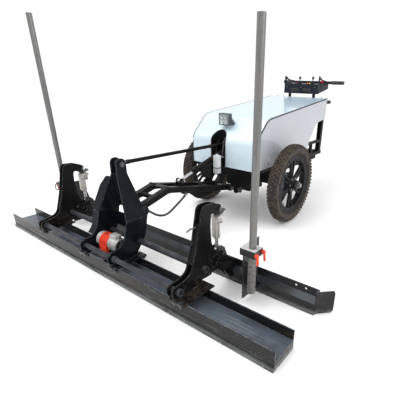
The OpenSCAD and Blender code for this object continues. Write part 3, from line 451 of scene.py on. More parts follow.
def actuator_finish():
    """Satin aluminium tubes and gearbox under a black guard."""
    metallic = 0.85
    s = Surface("actuator_finish", (0.60, 0.58, 0.55), 0.38, metallic)
    s.soften()
    s.tint(s.noise(18, 4, 0.42, 0.66, (1, 1, 0.2)), (0.46, 0.44, 0.41), 0.46)
    s.tint(s.times(s.noise(45, 5, 0.55, 0.68), 0.35), (0.22, 0.19, 0.16), 0.7)
    guard = s.times(s.below(0.4722, 0.0006), -1, "ADD")
    guard = s.times(guard, -1.0)
    s.tint(guard, (0.012, 0.012, 0.013), 0.4)
    s.join(s.mixed(guard, metallic, 0.0), s.shader, "Metallic")
    s.bump(s.noise(420, 3, 0.3, 0.7, (1, 1, 0.05)), 0.15, 0.0005)
    return s.material


def make_materials():
    return {
        "black": enamel("black_enamel", (0.0038, 0.0038, 0.0042), 0.28, dust=0.08, wear_and_edge_highlight=0.5, mud=0.25),
        "black_leg": enamel("leg_enamel", (0.0040, 0.0055, 0.0085), 0.20, dust=0.05, wear_and_edge_highlight=0.5),
        "black_hard": enamel("chassis_enamel", (0.004, 0.004, 0.0045), 0.38, dust=0.10, wear_and_edge_highlight=0.3),
        "tube": enamel("tube_enamel", (0.028, 0.031, 0.037), 0.26, dust=0.25, wear_and_edge_highlight=0.5),
        "pan": pan_enamel(),
        "pearl": pearl_coat("pearl_coat", (0.62, 0.73, 0.80), (0.46, 0.60, 0.70)),
        # The side panels' paint is the hood's pearl paint made greyer and darker: painted shade on the
        # sideways faces.
        "pearl_shaded_side": pearl_coat("pearl_shaded_side", (0.46, 0.47, 0.505), dirt=0.45),
        "console": enamel("console_enamel", (0.012, 0.015, 0.023), 0.34, dust=0.12, wear_and_edge_highlight=0.4),
        "plough": plough_enamel(),
        "zinc_tube": galvanised("zinc_tube"),
        "zinc": metal("zinc_plated", (0.36, 0.355, 0.345), 0.34),
        "pin_steel": metal("pin_steel", (0.13, 0.13, 0.135), 0.38),
        "chrome": metal("hard_chrome", (0.58, 0.59, 0.61), 0.16, stain=0.1),
        "cast": casting("cast_silver", (0.62, 0.62, 0.61)),
        "orange": enamel("orange_enamel", (0.62, 0.045, 0.016), 0.26, dust=0.15, wear_and_edge_highlight=0.2, gloss=0.5),
        "red": enamel("red_enamel", (0.70, 0.055, 0.022), 0.30, dust=0.1, wear_and_edge_highlight=0.25),
        "button": plastic("button_plastic", (0.55, 0.018, 0.012), 0.25, 0.1),
        "wheel": enamel("wheel_enamel", (0.014, 0.014, 0.015), 0.40, dust=0.5, wear_and_edge_highlight=0.3),
        "tyre": tyre_rubber(),
        "hose": rubber("hose_rubber", grain=(1, 1, 0.2)),
        "trim": rubber("trim_rubber", (0.014, 0.014, 0.015)),
        "tank": plastic("tank_plastic", (0.46, 0.48, 0.49), 0.42, 0.3),
        "engine": casting("engine_casting", (0.14, 0.14, 0.15), 0.8, 0.5),
        "battery": plastic("battery_plastic", (0.03, 0.03, 0.034), 0.5, 0.4),
        "drum": casting("drum_iron", (0.115, 0.125, 0.15), 0.4, 0.5),
        "rust": casting("rusty_steel", (0.20, 0.12, 0.08), 0.5, 0.7),
        "worn": metal("worn_steel", (0.42, 0.42, 0.41), 0.35),
        "socket": socket_finish(),
        "actuator": actuator_finish(),
        "lamp": enamel("lamp_enamel", (0.085, 0.095, 0.105), 0.42, dust=0.3, wear_and_edge_highlight=0.3),
        "reflector": metal("reflector", (0.80, 0.82, 0.84), 0.18, stain=0.0),
        "glass": glass(),
        "knob": plastic("knob_plastic", (0.014, 0.014, 0.015), 0.28, 0.15),
        "white": plastic("white_plastic", (0.72, 0.72, 0.70), 0.4, 0.2),
        "yellow": plastic("yellow_plastic", (0.75, 0.50, 0.03), 0.35, 0.2),
    }


CAD_FINISH = {
    "plough": "plough_beam",
    "black": "boom_frame tower_left tower_right lower_links upper_links top_link lift_barrel",
    "black_leg": "centre_leg_left centre_leg_right",
    "black_hard": "chassis_frame linkage_tower rear_frame axle_housing handlebar",
    "tube": "front_tube cross_tube",
    "pan": "pan",
    "pearl": "hood_cover",
    # Side panels: the greyer, darker copy of the pearl paint, painted shade.
    "pearl_shaded_side": "side_panel_left side_panel_right",
    "console": "console_box",
    "zinc_tube": "mast_left mast_right",
    "socket": "mast_sockets",
    "pin_steel": "linkage_pins boom_pins pan_bolts head_pins plough_pins",
    "zinc": "wheel_bearings axle_shaft_left axle_shaft_right vibrator_shaft",
    "chrome": "lift_rod actuator_rods",
    "actuator": "actuators",
    "cast": "vibrator_end_caps vibrator_terminal_box",
    "orange": "vibrator_housing",
    "red": "clamp_lever_left_front clamp_lever_left_rear clamp_lever_right_front clamp_lever_right_rear",
    "button": "stop_button",
    "wheel": "rim_left rim_right",
    "tyre": "tyre_left tyre_right",
    "tank": "hydraulic_tank",
    "engine": "engine hydraulic_power_unit",
    "battery": "battery",
    "lamp": "work_lamp lamp_bracket",
    "knob": "lift_lever drive_lever",
    "hose": "boom_hose cylinder_hose head_leads",
}


def finish_cad(materials):
    for key, names in CAD_FINISH.items():
        for name in names.split():
            mesh = NODES[name].data
            mesh.materials.clear()
            mesh.materials.append(materials[key])
            mesh.shade_smooth()
            mesh.set_sharp_from_angle(angle=radians(32))


# ---- building blocks

# The mesh under construction: each building block adds to it, and show() makes a piece of it
shape = bmesh.new()


def show(name, material, body="chassis", smooth=35):
    """The mesh under construction becomes a piece, in the shared frame, that rides on a CAD body."""
    bmesh.ops.recalc_face_normals(shape, faces=shape.faces)
    mesh = bpy.data.meshes.new(name)
    shape.to_mesh(mesh)
    shape.clear()
    mesh.materials.append(MATERIALS[material])
    mesh.shade_smooth()
    mesh.set_sharp_from_angle(angle=radians(smooth))
    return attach(placed(name, mesh), body)


def bridge(first, second):
    """Faces between two rings of corners; a ring of one corner is a tip."""
    count = max(len(first), len(second))
    for i in range(count):
        j = (i + 1) % count
        ends = ((first, i), (first, j), (second, j), (second, i))
        corners = list(dict.fromkeys(ring[k % len(ring)] for ring, k in ends))
        if len(corners) > 2:
            shape.faces.new(corners)


def circle(centre, across, other, radius, sides):
    if radius == 0:
        return [shape.verts.new(centre)]
    turns = [2 * pi * i / sides for i in range(sides)]
    return [shape.verts.new(centre + (cos(t) * across + sin(t) * other) * radius) for t in turns]


def turned(start, along, profile, sides=32):
    """A turned form about a line: profile holds (distance along, radius) from one end to the other."""
    along = Vector(along).normalized()
    across = along.orthogonal().normalized()
    other = along.cross(across)
    rings = [circle(Vector(start) + along * d, across, other, r, sides) for d, r in profile]
    for first, second in zip(rings, rings[1:]):
        bridge(first, second)


def lathe(start, along, profile, sides=32):
    """A turned form whose profile is given in millimetres."""
    turned(start, along, [(d / 1000, r / 1000) for d, r in profile], sides)


def disc(start, along, radius, thick, edge=0.0006, sides=32):
    """A plain round disc with chamfered edges."""
    turned(start, along, [(0, 0), (0, radius - edge), (edge, radius), (thick - edge, radius),
                                 (thick, radius - edge), (thick, 0)], sides)


def band(start, along, inner, outer, thick, edge=0.0005, sides=48):
    """A ring with chamfered outer edges."""
    turned(start, along, [(0, inner), (0, outer - edge), (edge, outer), (thick - edge, outer),
                                 (thick, outer - edge), (thick, inner)], sides)


def block(low, high, edge=0.0008):
    """A box with rounded edges."""
    low, high = Vector(low), Vector(high)
    corners = bmesh.ops.create_cube(shape, size=1)["verts"]
    bmesh.ops.scale(shape, vec=high - low, verts=corners)
    bmesh.ops.translate(shape, vec=(low + high) / 2, verts=corners)
    edges = list(dict.fromkeys(e for v in corners for e in v.link_edges))
    bmesh.ops.bevel(shape, geom=edges, offset=edge, segments=2, profile=0.5, affect="EDGES")


def through(points, steps=6):
    """A smooth line through the points."""
    line = [Vector(p) for p in points]
    ends = [2 * line[0] - line[1]] + line + [2 * line[-1] - line[-2]]
    out = []
    for a, b, c, d in zip(ends, ends[1:], ends[2:], ends[3:]):
        for i in range(steps):
            t = i / steps
            out.append(0.5 * (2 * b + (c - a) * t + (2 * a - 5 * b + 4 * c - d) * t * t
                              + (3 * b - a - 3 * c + d) * t ** 3))
    return out + [line[-1]]


def swept(line, radius, sides=12):
    """A round bar along a line; radius is one number or one for each point."""
    radii = radius if isinstance(radius, list) else [radius] * len(line)
    across = (line[1] - line[0]).orthogonal().normalized()
    rings = [[shape.verts.new(line[0])]]
    for i, point in enumerate(line):
        along = (line[min(i + 1, len(line) - 1)] - line[max(i - 1, 0)]).normalized()
        across = (across - along * across.dot(along)).normalized()
        rings.append(circle(point, across, along.cross(across), radii[i], sides))
    rings.append([shape.verts.new(line[-1])])
    for first, second in zip(rings, rings[1:]):
        bridge(first, second)


def weld(centre, along, radius, bead=0.0022):
    """A rippled weld bead round a tube where it meets a plate."""
    along = Vector(along).normalized()
    across = along.orthogonal().normalized()
    other = along.cross(across)
    count = 96
    turns = [2 * pi * i / count for i in range(count + 1)]
    line = [Vector(centre) + (cos(t) * across + sin(t) * other) * radius for t in turns]
    swept(line, [bead * (1 + 0.22 * sin(17 * t)) for t in turns], 8)


def seam(start, end, bead=0.0022):
    """A straight rippled weld bead."""
    start, end = Vector(start), Vector(end)
    count = max(8, int((end - start).length / 0.0015))
    line = [start.lerp(end, i / count) for i in range(count + 1)]
    swept(line, [bead * (1 + 0.22 * sin(1.9 * i)) for i in range(count + 1)], 8)


def bolt(place, along, size):
    """A hexagon bolt head on its washer; size is the thread's diameter."""
    disc(place, along, 1.15 * size, 0.16 * size, 0.04 * size, 28)
    profile = [(0.16, 0), (0.16, 0.98), (0.70, 0.98), (0.80, 0.84), (0.80, 0.35), (0.76, 0)]
    turned(place, along, [(d * size, r * size) for d, r in profile], 6)


def screw(place, along, radius):
    """A socket screw's head."""
    profile = [(0, 1), (0.7, 1), (0.9, 0.85), (0.9, 0.5), (0.35, 0.45), (0.3, 0)]
    turned(place, along, [(d * radius, r * radius) for d, r in profile], 18)


def clip_ring(place, along, radius):
    """A washer and a retaining ring at the end of a pin."""
    band(place, along, radius, 1.55 * radius, 0.0025)
    band(Vector(place) + 0.003 * Vector(along), along, radius, 1.25 * radius, 0.0014)


# ---- cords

def route(*places):
    """Points given in millimetres."""
    return [tuple(c / 1000 for c in place) for place in places]


BOOM_HOSE = route(
    (-100, 292, 380), (-100, 292, 366), (-88, 298, 350), (-70, 308, 334),
    (-50, 322, 317), (-30, 336, 302), (-10, 350, 288), (10, 368, 275), (24, 394, 267), (32, 426, 266),
    (34, 462, 275), (34, 500, 293), (34, 540, 313), (34, 580, 334), (34, 612, 353), (34, 640, 370))
CYLINDER_HOSE = route(
    (8, 1066, 568), (20, 1066, 568), (26, 1068, 582), (27, 1072, 608),
    (25, 1080, 638), (22, 1090, 666), (18, 1106, 694), (16, 1126, 714), (15, 1150, 724),
    (16, 1176, 722), (18, 1200, 706), (20, 1220, 680), (20, 1232, 650), (20, 1240, 622),
    (20, 1250, 604), (20, 1254, 600), (20, 1266, 600))
MOTOR_LEAD = route(
    (34, 33, 233), (48, 33, 233), (64, 30, 238), (78, 18, 234), (86, 0, 212),
    (80, -14, 180), (62, -26, 158), (40, -40, 150), (20, -52, 148), (8, -56, 144), (4, -56, 138),
    (4, -56, 128))
LEFT_LEAD = route(
    (-702, 84, 442), (-702, 70, 442), (-702, 54, 434), (-702, 46, 418),
    (-702, 50, 400), (-702, 62, 390), (-702, 74, 390))
RIGHT_LEAD = route(
    (642, 86, 456), (642, 70, 456), (642, 56, 459), (642, 40, 457), (642, 26, 451))


def cord(name, points, diameter, body, far_body=None):
    """A free hose or lead as a round curve through its points; with a second body it is made into a plain
    mesh that rides on no body.
    """
    line = through(points, 4)
    data = bpy.data.curves.new(name, "CURVE")
    data.dimensions = "3D"
    data.bevel_depth = diameter / 2
    data.bevel_resolution = 5
    data.use_fill_caps = True
    spline = data.splines.new("POLY")
    spline.points.add(len(line) - 1)
    for spot, place in zip(spline.points, line):
        spot.co = (*place, 1)
    data.materials.append(MATERIALS["hose"])
    piece = placed(name, data)
    if far_body:
        mesh = bpy.data.meshes.new_from_object(piece)
        bpy.data.objects.remove(piece)
        piece = placed(name, mesh)
        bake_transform(piece)
    else:
        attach(piece, body)
    return piece


def cords():
    """The two hydraulic hoses and the three electric leads."""
    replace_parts(cord("boom_hose_line", BOOM_HOSE, 0.016, "boom"), "boom_hose")
    cylinder = cord("cylinder_hose_line", CYLINDER_HOSE, 0.010, "lift_barrel", far_body="chassis")
    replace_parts(cylinder, "cylinder_hose")
    motor = cord("motor_lead_line", MOTOR_LEAD, 0.007, "head")
    cord("left_lead_line", LEFT_LEAD, 0.007, "head")
    cord("right_lead_line", RIGHT_LEAD, 0.007, "head")
    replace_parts(motor, "head_leads")


def crimp(place, along, radius):
    """A hydraulic hose's crimped sleeve and its hexagon nut, along points out of the hose's gland."""
    turned(place, along, [(-0.004, 0), (-0.004, 1.45 * radius), (0.006, 1.45 * radius), (0.006, 0)], 6)
    line = [(0.006, 1.30 * radius)]
    for i in range(5):
        line += [(0.009 + 0.004 * i, 1.30 * radius), (0.010 + 0.004 * i, 1.18 * radius),
                 (0.012 + 0.004 * i, 1.18 * radius)]
    turned(place, along, line + [(0.031, 1.28 * radius), (0.031, 0.9 * radius)], 28)


def hose_ends():
    """Crimped ends of both hydraulic hoses."""
    for name, line, radius, body in (("boom_hose_crimps", BOOM_HOSE, 0.008, "boom"),
                                     ("cylinder_hose_crimps", CYLINDER_HOSE, 0.005, "chassis")):
        crimp(line[0], Vector(line[1]) - Vector(line[0]), radius)
        crimp(line[-1], Vector(line[-2]) - Vector(line[-1]), radius)
        show(name, "zinc", body)


# ---- cart: wheels

AXLE = (1.457, 0.335)
WHEEL_X = 0.465


def wheel_point(side, theta, radius, across):
    """A point of a wheel: theta round the axle, radius from it, across from the wheel's middle plane."""
    y, z = AXLE
    return Vector((side * WHEEL_X + across, y + radius * sin(theta), z + radius * cos(theta)))


def knob(side, theta, across, radius, tilt, size):
    """One tread knob, a tapered block; size is its length round the tyre, its width and its height."""
    length, width, height = (s * random.uniform(0.90, 1.06) for s in size)
    half = length / 2 / radius
    rings = []
    for rise, narrow in ((-0.004, 1.12), (height * 0.8, 0.92), (height, 0.74)):
        ring = []
        for a, b in ((-1, -1), (1, -1), (1, 1), (-1, 1)):
            sideways = b * width / 2 * narrow
            out = radius + rise * cos(tilt) - sideways * sin(tilt)
            shift = across + rise * sin(tilt) + sideways * cos(tilt)
            ring.append(shape.verts.new(wheel_point(side, theta + a * half * narrow, out, shift)))
        rings.append(ring)
    bridge(rings[0], rings[1])
    bridge(rings[1], rings[2])
    shape.faces.new(rings[2])


def tyre(side):
    """Knobbly off-road tyre: a ribbed carcass and six staggered rows of knobs."""
    carcass = [(-26.2, 250.5), (-34, 256), (-40.5, 270), (-43.5, 288), (-41, 303), (-34, 313), (-20, 320.5)]
    carcass += [(0, 322.5)] + [(-d, r) for d, r in reversed(carcass)]
    lathe((side * WHEEL_X, *AXLE), RIGHT, carcass, 144)
    for radius in (0.262, 0.276):
        for face in (-1, 1):
            centre = (side * WHEEL_X + face * 0.0375, *AXLE)
            band(centre, (face, 0, 0), radius, radius + 0.002, 0.005, 0.0005, 96)
    pitches = 62
    step = 2 * pi / pitches
    for i in range(pitches):
        for face in (-1, 1):
            turn = step * (i + 0.25 * face)
            knob(side, turn, face * 0.0085, 0.3215, face * 0.05, (0.019, 0.0145, 0.0125))
            knob(side, turn + step / 2, face * 0.0255, 0.3175, face * 0.42, (0.018, 0.0125, 0.0135))
            knob(side, turn, face * 0.0385, 0.3075, face * 0.95, (0.017, 0.012, 0.0115))


def wheels():
    """Tyres, hub bolts and seals, brake drums, valves and rim beads."""
    for name, side in SIDES.items():
        body = "wheel_" + name
        tyre(side)
        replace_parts(show("knobbly_tyre_" + name, "tyre", body, 30), "tyre_" + name)
        for i in range(6):
            turn = 2 * pi * (i + 0.5) / 6
            for face in (-1, 1):
                bolt(wheel_point(side, turn, 0.050, face * 0.022), (face, 0, 0), 0.008)
        show("hub_bolts_" + name, "zinc", body)
        for face in (-1, 1):
            centre = (side * WHEEL_X + face * 0.064, *AXLE)
            lathe(centre, (face, 0, 0), [(-4, 36), (1, 36), (5, 32), (6, 26)], 40)
        show("hub_seals_" + name, "trim", body)
        # Drum of the wheel's brake, with its cooling ribs
        centre = (side * WHEEL_X - side * 0.024, *AXLE)
        profile = [(0, 40), (0, 90), (6, 96), (10, 96), (12, 92), (16, 92), (18, 96), (22, 96), (26, 88),
                   (26, 40)]
        lathe(centre, (-side, 0, 0), profile, 56)
        show("brake_drum_" + name, "drum", body)
        stem = wheel_point(side, 0.35, 0.247, side * 0.012)
        profile = [(0, 0), (0, 4), (20, 4), (22, 4.6), (30, 4.6), (32, 3), (32, 0)]
        lathe(stem, (side * 0.5, -sin(0.35), -cos(0.35)), profile, 16)
        show("valve_" + name, "trim", body)
        for face in (-1, 1):
            swept([wheel_point(side, 2 * pi * i / 120, 0.2555, face * 0.0335) for i in range(121)],
                  0.0022, 8)
        show("rim_beads_" + name, "wheel", body)


# ---- cart: hood, lamp, console, inside

HOOD_HALF = 0.3225
HOOD_FRONT = 1.102


def eased(points, radii, steps=10):
    """An open line in y and z whose inner corners are rounded."""
    line = [Vector(points[0])]
    for before, corner, after, radius in zip(points, points[1:], points[2:], radii):
        back = (Vector(before) - Vector(corner)).normalized()
        on = (Vector(after) - Vector(corner)).normalized()
        half = back.angle(on) / 2
        middle = Vector(corner) + (back + on).normalized() * radius / sin(half)
        start = Vector(corner) + back * radius / tan(half) - middle
        turn = (pi - 2 * half) * (1 if back.cross(on) < 0 else -1)
        for i in range(steps + 1):
            angle = turn * i / steps
            out = Vector((start.x * cos(angle) - start.y * sin(angle),
                          start.x * sin(angle) + start.y * cos(angle)))
            line.append(middle + out)
    return line + [Vector(points[-1])]


HOOD_LINE = eased([(HOOD_FRONT, 0.48), (HOOD_FRONT, 0.702), (1.272, 0.868), (2.373, 0.98)], [0.090, 0.130])


def hood_trims():
    """Rubber seals at the hood's edges and round the linkage's slot, and the screws of the side panels."""
    upper = [p for p in HOOD_LINE if p.y > 0.68]
    for name, side in SIDES.items():
        line = [Vector((side * (HOOD_HALF + 0.0015), p.x + 0.002, p.y - 0.004)) for p in upper]
        swept(line, 0.0056, 10)
        show("hood_seal_" + name, "trim", "hood")
        for y in (1.30, 1.75, 2.2):
            bolt((side * 0.3248, y, 0.515), (side, 0, 0), 0.006)
        show("panel_screws_" + name, "trim")
    slot_x, radius, top = -0.045, 0.075, 0.765
    arc = [pi * i / 24 for i in range(25)]
    line = [Vector((slot_x - radius, HOOD_FRONT - 0.001, 0.482 + 0.02 * i)) for i in range(11)]
    line += [Vector((slot_x - radius * cos(a), slot_front(top - radius + radius * sin(a)),
                     top - radius + radius * sin(a))) for a in arc]
    line += [Vector((slot_x + radius, HOOD_FRONT - 0.001, 0.682 - 0.02 * i)) for i in range(11)]
    swept(line, 0.0030, 10)
    show("slot_trim", "trim", "hood")


def slot_front(height):
    """Y of the hood's front skin at a height."""
    for low, high in zip(HOOD_LINE, HOOD_LINE[1:]):
        if low.y <= height <= high.y:
            return low.x + (high.x - low.x) * (height - low.y) / max(high.y - low.y, 1e-6) - 0.001
    return HOOD_FRONT


def slot_shade_sheets():
    """Black sheets on the inner faces of the side panels: painted shade that keeps the inside of the slot
    dark.
    """
    for x in (-0.3195, 0.3165):
        block((x, 1.20, 0.45), (x + 0.003, 1.92, 0.70), 0.001)
    show("slot_shade_sheets", "trim")


LAMP = (-0.02, 1.18, 0.85)


def lamp():
    """Work lamp: a rim, four bright cups with their lights, a clear glass and its screws."""
    x, y, z = LAMP
    face = y - 0.030
    for low, high in (((-0.050, -0.046), (-0.043, 0.046)), ((0.043, -0.046), (0.050, 0.046)),
                      ((-0.043, -0.046), (0.043, -0.039)), ((-0.043, 0.039), (0.043, 0.046))):
        block((x + low[0], face - 0.007, z + low[1]), (x + high[0], face + 0.001, z + high[1]))
    for i in range(9):
        rib = z - 0.036 + 0.009 * i
        for side in (-1, 1):
            at = x + side * 0.051
            block((at - 0.002, y - 0.024, rib - 0.0018), (at + 0.002, y, rib + 0.0018), 0.0006)
    show("lamp_rim", "lamp", "lamp")
    cups = [(x + a * 0.021, face - 0.0005, z + b * 0.020) for a in (-1, 1) for b in (-1, 1)]
    for cup in cups:
        lathe(cup, FRONT, [(0.2, 5), (0.4, 12), (4.5, 18.5), (4.5, 19), (0, 19)], 32)
    show("lamp_cups", "reflector", "lamp")
    for cup in cups:
        disc(cup, FRONT, 0.0045, 0.002, 0.0004, 20)
    show("lamp_lights", "yellow", "lamp")
    block((x - 0.043, face - 0.006, z - 0.039), (x + 0.043, face - 0.0048, z + 0.039), 0.0003)
    show("lamp_glass", "glass", "lamp")
    for a in (-1, 1):
        for b in (-1, 1):
            screw((x + a * 0.0465, face - 0.007, z + b * 0.0425), FRONT, 0.0026)
    show("lamp_screws", "zinc", "lamp")
    for side in (-1, 1):
        bolt((x + side * 0.0578, y, z), (side, 0, 0), 0.006)
    show("lamp_pivot_bolts", "zinc", "hood")


CONSOLE_TOP = 1.105
LEVERS = {"lift": -0.06, "drive": 0.09}
LEVER_Y = 2.5
GAUGE = (-0.135, 2.50)


def lever_boots():
    """Rubber bellows round each control lever: a collar on the console and folds that tilt with the lever."""
    for x in LEVERS.values():
        profile = [(8, 21), (10, 21.5), (11, 19), (12.5, 16.5), (14.5, 17.5), (14.5, 12), (8, 12),
                   (8, 21)]
        lathe((x, LEVER_Y, CONSOLE_TOP), UP, profile, 36)
    show("lever_boots", "trim")
    folds = [(16, 5.5)]
    for i in (1, 2, 3):
        folds += [(11 + 5 * i, 19 - 3 * i), (12.5 + 5 * i, 16.5 - 3 * i), (14.5 + 5 * i, 17.5 - 3 * i)]
    for name, x in LEVERS.items():
        lathe((x, LEVER_Y, CONSOLE_TOP), UP, folds + [(32, 5.5)], 36)
        show(name + "_lever_boot", "trim", name + "_lever")


def gauge():
    """Ring, face and hand of the pressure gauge."""
    band((*GAUGE, CONSOLE_TOP), UP, 0.022, 0.027, 0.010)
    show("gauge_ring", "zinc")
    disc((*GAUGE, CONSOLE_TOP - 0.001), UP, 0.023, 0.006)
    show("gauge_face", "white")
    block((-0.1362, 2.484, CONSOLE_TOP + 0.005), (-0.1338, 2.512, CONSOLE_TOP + 0.0062), 0.0003)
    disc((*GAUGE, CONSOLE_TOP + 0.005), UP, 0.003, 0.002)
    show("gauge_hand", "trim")


def console_fittings():
    """Warning lights, switch caps, screws, vents, lever knobs and the cap of the stop button."""
    for i, colour in enumerate(("red", "yellow", "white")):
        profile = [(0, 8.5), (3, 8.5), (4, 7), (9, 6.5), (12, 4), (13, 0)]
        lathe((-0.02 + 0.028 * i, 2.60, CONSOLE_TOP), UP, profile, 28)
        show("warning_light_%d" % i, colour)
    for x in (-0.15, -0.11):
        block((x - 0.006, 2.593, CONSOLE_TOP + 0.008), (x + 0.006, 2.602, CONSOLE_TOP + 0.016))
        block((x - 0.006, 2.602, CONSOLE_TOP + 0.006), (x + 0.006, 2.611, CONSOLE_TOP + 0.011))
    show("switch_rockers", "button")
    for x in (-0.176, 0.176):
        for y in (2.432, 2.545, 2.655):
            screw((x, y, CONSOLE_TOP - 0.0005), UP, 0.0045)
    for x in (-0.16, 0, 0.16):
        screw((x, 2.4125, 1.075), FRONT, 0.0042)
    show("console_screws", "zinc")
    for x in (-0.07, 0.07):
        block((x - 0.045, 2.409, 1.030), (x + 0.045, 2.4135, 1.062), 0.002)
        for i in range(5):
            block((x - 0.040, 2.406, 1.034 + 0.0055 * i), (x + 0.040, 2.410, 1.0365 + 0.0055 * i), 0.0005)
    show("console_vents", "trim")
    for name, x in LEVERS.items():
        profile = [(-4, 4), (-4, 10.5), (2, 11.8), (14, 12.5), (20, 11), (23.5, 7), (24.5, 0)]
        lathe((x, LEVER_Y, 1.153), UP, profile, 32)
        show(name + "_knob", "knob", name + "_lever")
    profile = [(-1, 16.5), (4, 17.8), (9, 17.8), (11.5, 16), (12.8, 10), (13.2, 0)]
    lathe((0.15, 2.60, 1.126), UP, profile, 40)
    show("stop_cap", "button", "stop_button")


def grips():
    """Ribbed rubber grips with flanges and rounded ends on the handlebar."""
    for name, side in SIDES.items():
        profile = [(0, 0.0145), (0, 0.021), (0.003, 0.0215), (0.005, 0.0185)]
        for i in range(14):
            at = 0.008 + 0.0075 * i
            profile += [(at, 0.0168), (at + 0.001, 0.0178), (at + 0.005, 0.0178), (at + 0.006, 0.0168)]
        profile += [(0.116, 0.0185), (0.121, 0.0170), (0.1235, 0.010), (0.124, 0)]
        turned((side * 0.235, 2.692, 1.12), (side, 0, 0), profile, 40)
        show("grip_" + name, "trim")
        weld((side * 0.160, 2.692, 1.12), RIGHT, 0.0145)
        show("bar_welds_" + name, "black_hard")


def under_hood():
    """What shows when the hood is open: fins, exhaust, starter, air filter, caps and terminals."""
    for i in range(7):
        level = 0.606 + 0.018 * i
        block((-0.108, 1.702, level), (0.108, 1.898, level + 0.003), 0.001)
    block((-0.126, 1.694, 0.440), (0.126, 1.700, 0.585), 0.002)
    show("cooling_fins", "engine")
    profile = [(0, 85), (6, 80), (10, 60), (14, 58), (16, 30), (22, 28), (22, 0)]
    lathe((0.168, 1.80, 0.52), RIGHT, profile, 48)
    for i in range(18):
        turn = 2 * pi * i / 18
        spot = Vector((0.170, 1.80 + 0.069 * cos(turn), 0.52 + 0.069 * sin(turn)))
        disc(spot, RIGHT, 0.005, 0.006, 0.001, 12)
    show("recoil_starter", "black_hard")
    disc((-0.20, 1.80, 0.64), (-1, 0, 0), 0.046, 0.014, 0.004, 40)
    lathe((-0.16, 1.80, 0.685), UP, [(-10, 12), (30, 12), (32, 9), (0, 9)], 24)
    show("exhaust", "rust")
    profile = [(0, 50), (4, 52), (34, 52), (40, 47), (42, 12), (48, 10), (48, 0)]
    lathe((0.03, 1.80, 0.720), UP, profile, 44)
    show("air_filter", "knob")
    for x, y in ((-0.10, 1.715), (0.10, 1.715), (-0.10, 1.885), (0.10, 1.885)):
        bolt((x, y, 0.600), UP, 0.007)
    for x in (-0.09, 0.09):
        bolt((x, 2.03, 0.614), UP, 0.006)
    show("engine_bolts", "zinc")
    for i in range(6):
        lathe((-0.075 + 0.030 * i, 2.10, 0.600), UP, [(0, 10), (3, 10), (4, 8.5), (4, 0)], 24)
    block((-0.112, 2.008, 0.575), (0.112, 2.162, 0.6015), 0.002)
    show("battery_lid", "battery")
    lathe((-0.09, 1.34, 0.640), UP, [(0, 24), (6, 26), (20, 26), (24, 23), (25, 0)], 36)
    show("tank_cap", "knob")
    for z in (0.500, 0.560, 0.620):
        block((-0.142, 1.2732, z), (0.082, 1.402, z + 0.006), 0.002)
    show("tank_ribs", "tank")


# ---- boom, cylinder and links

MECH_X = -0.03


def pin_ends():
    """Washers and retaining rings at both ends of every linkage pin."""
    ends = (
        ("pivot_rings", "chassis", ((1.132, 0.300, 0.197, 0.016), (1.127, 0.585, 0.041, 0.011),
                                    (1.162, 0.655, 0.041, 0.011))),
        ("boom_rings", "boom", ((0.200, 0.388, 0.123, 0.011), (0.637, 0.452, 0.026, 0.008))),
        ("top_rings", "head", ((0.137, 0.675, 0.040, 0.011),)),
    )
    for name, body, pins in ends:
        for y, z, half, radius in pins:
            for side in (-1, 1):
                clip_ring((MECH_X + side * half, y, z), (side, 0, 0), radius)
        show(name, "pin_steel", body)


def boom_details():
    """Weld beads and grease nipples of the boom."""
    for y, z in ((0.330, 0.420), (0.900, 0.350)):
        for side in (-1, 1):
            weld((MECH_X + side * 0.055, y, z), RIGHT, 0.0175, 0.003)
    for side in (-1, 1):
        seam((MECH_X + side * 0.055, 0.428, 0.4625), (MECH_X + side * 0.055, 0.472, 0.4625), 0.003)
    show("boom_welds", "black", "boom")
    for side in (-1, 1):
        for y, z in ((1.132, 0.327), (0.200, 0.413)):
            lathe((MECH_X + side * 0.075, y, z), UP, [(-3, 4), (3, 4), (4, 2.5), (8, 3.2), (9, 0)], 14)
    show("grease_nipples", "zinc", "boom")


def cylinder_details():
    """Gland nut, wiper, end weld and port nut of the lift cylinder."""
    barrel = Vector((MECH_X, 1.127, 0.585))
    rod = Vector((MECH_X, 0.637, 0.452))
    along = (rod - barrel).normalized()
    length = (rod - barrel).length
    profile = [(0, 25), (0, 29.5), (4, 30), (16, 30), (20, 27), (24, 15.5)]
    lathe(barrel + along * (length - 0.166), along, profile, 12)
    weld(barrel + along * 0.045, along, 0.0242, 0.003)
    show("gland_nut", "black", "lift_barrel")
    band(barrel + along * (length - 0.142), along, 0.0125, 0.0165, 0.006)
    show("rod_wiper", "trim", "lift_barrel")
    lathe(CYLINDER_HOSE[0], RIGHT, [(-4, 10.5), (4, 10.5), (4, 7), (10, 7)], 6)
    show("port_nut", "zinc", "lift_barrel")


def reserve_bottle():
    """Pale bottle strapped to the right plate of the linkage tower, in front of the slot."""
    block((0.008, 0.972, 0.448), (0.056, 1.018, 0.594), 0.006)
    lathe((0.032, 0.995, 0.592), UP, [(0, 12), (10, 11), (10, 0)], 28)
    show("reserve_bottle", "tank")
    block((0.0066, 0.9706, 0.492), (0.0574, 1.0194, 0.497), 0.0006)
    block((0.0098, 1.018, 0.484), (0.0140, 1.135, 0.508), 0.0008)
    show("bottle_strap", "black_hard")


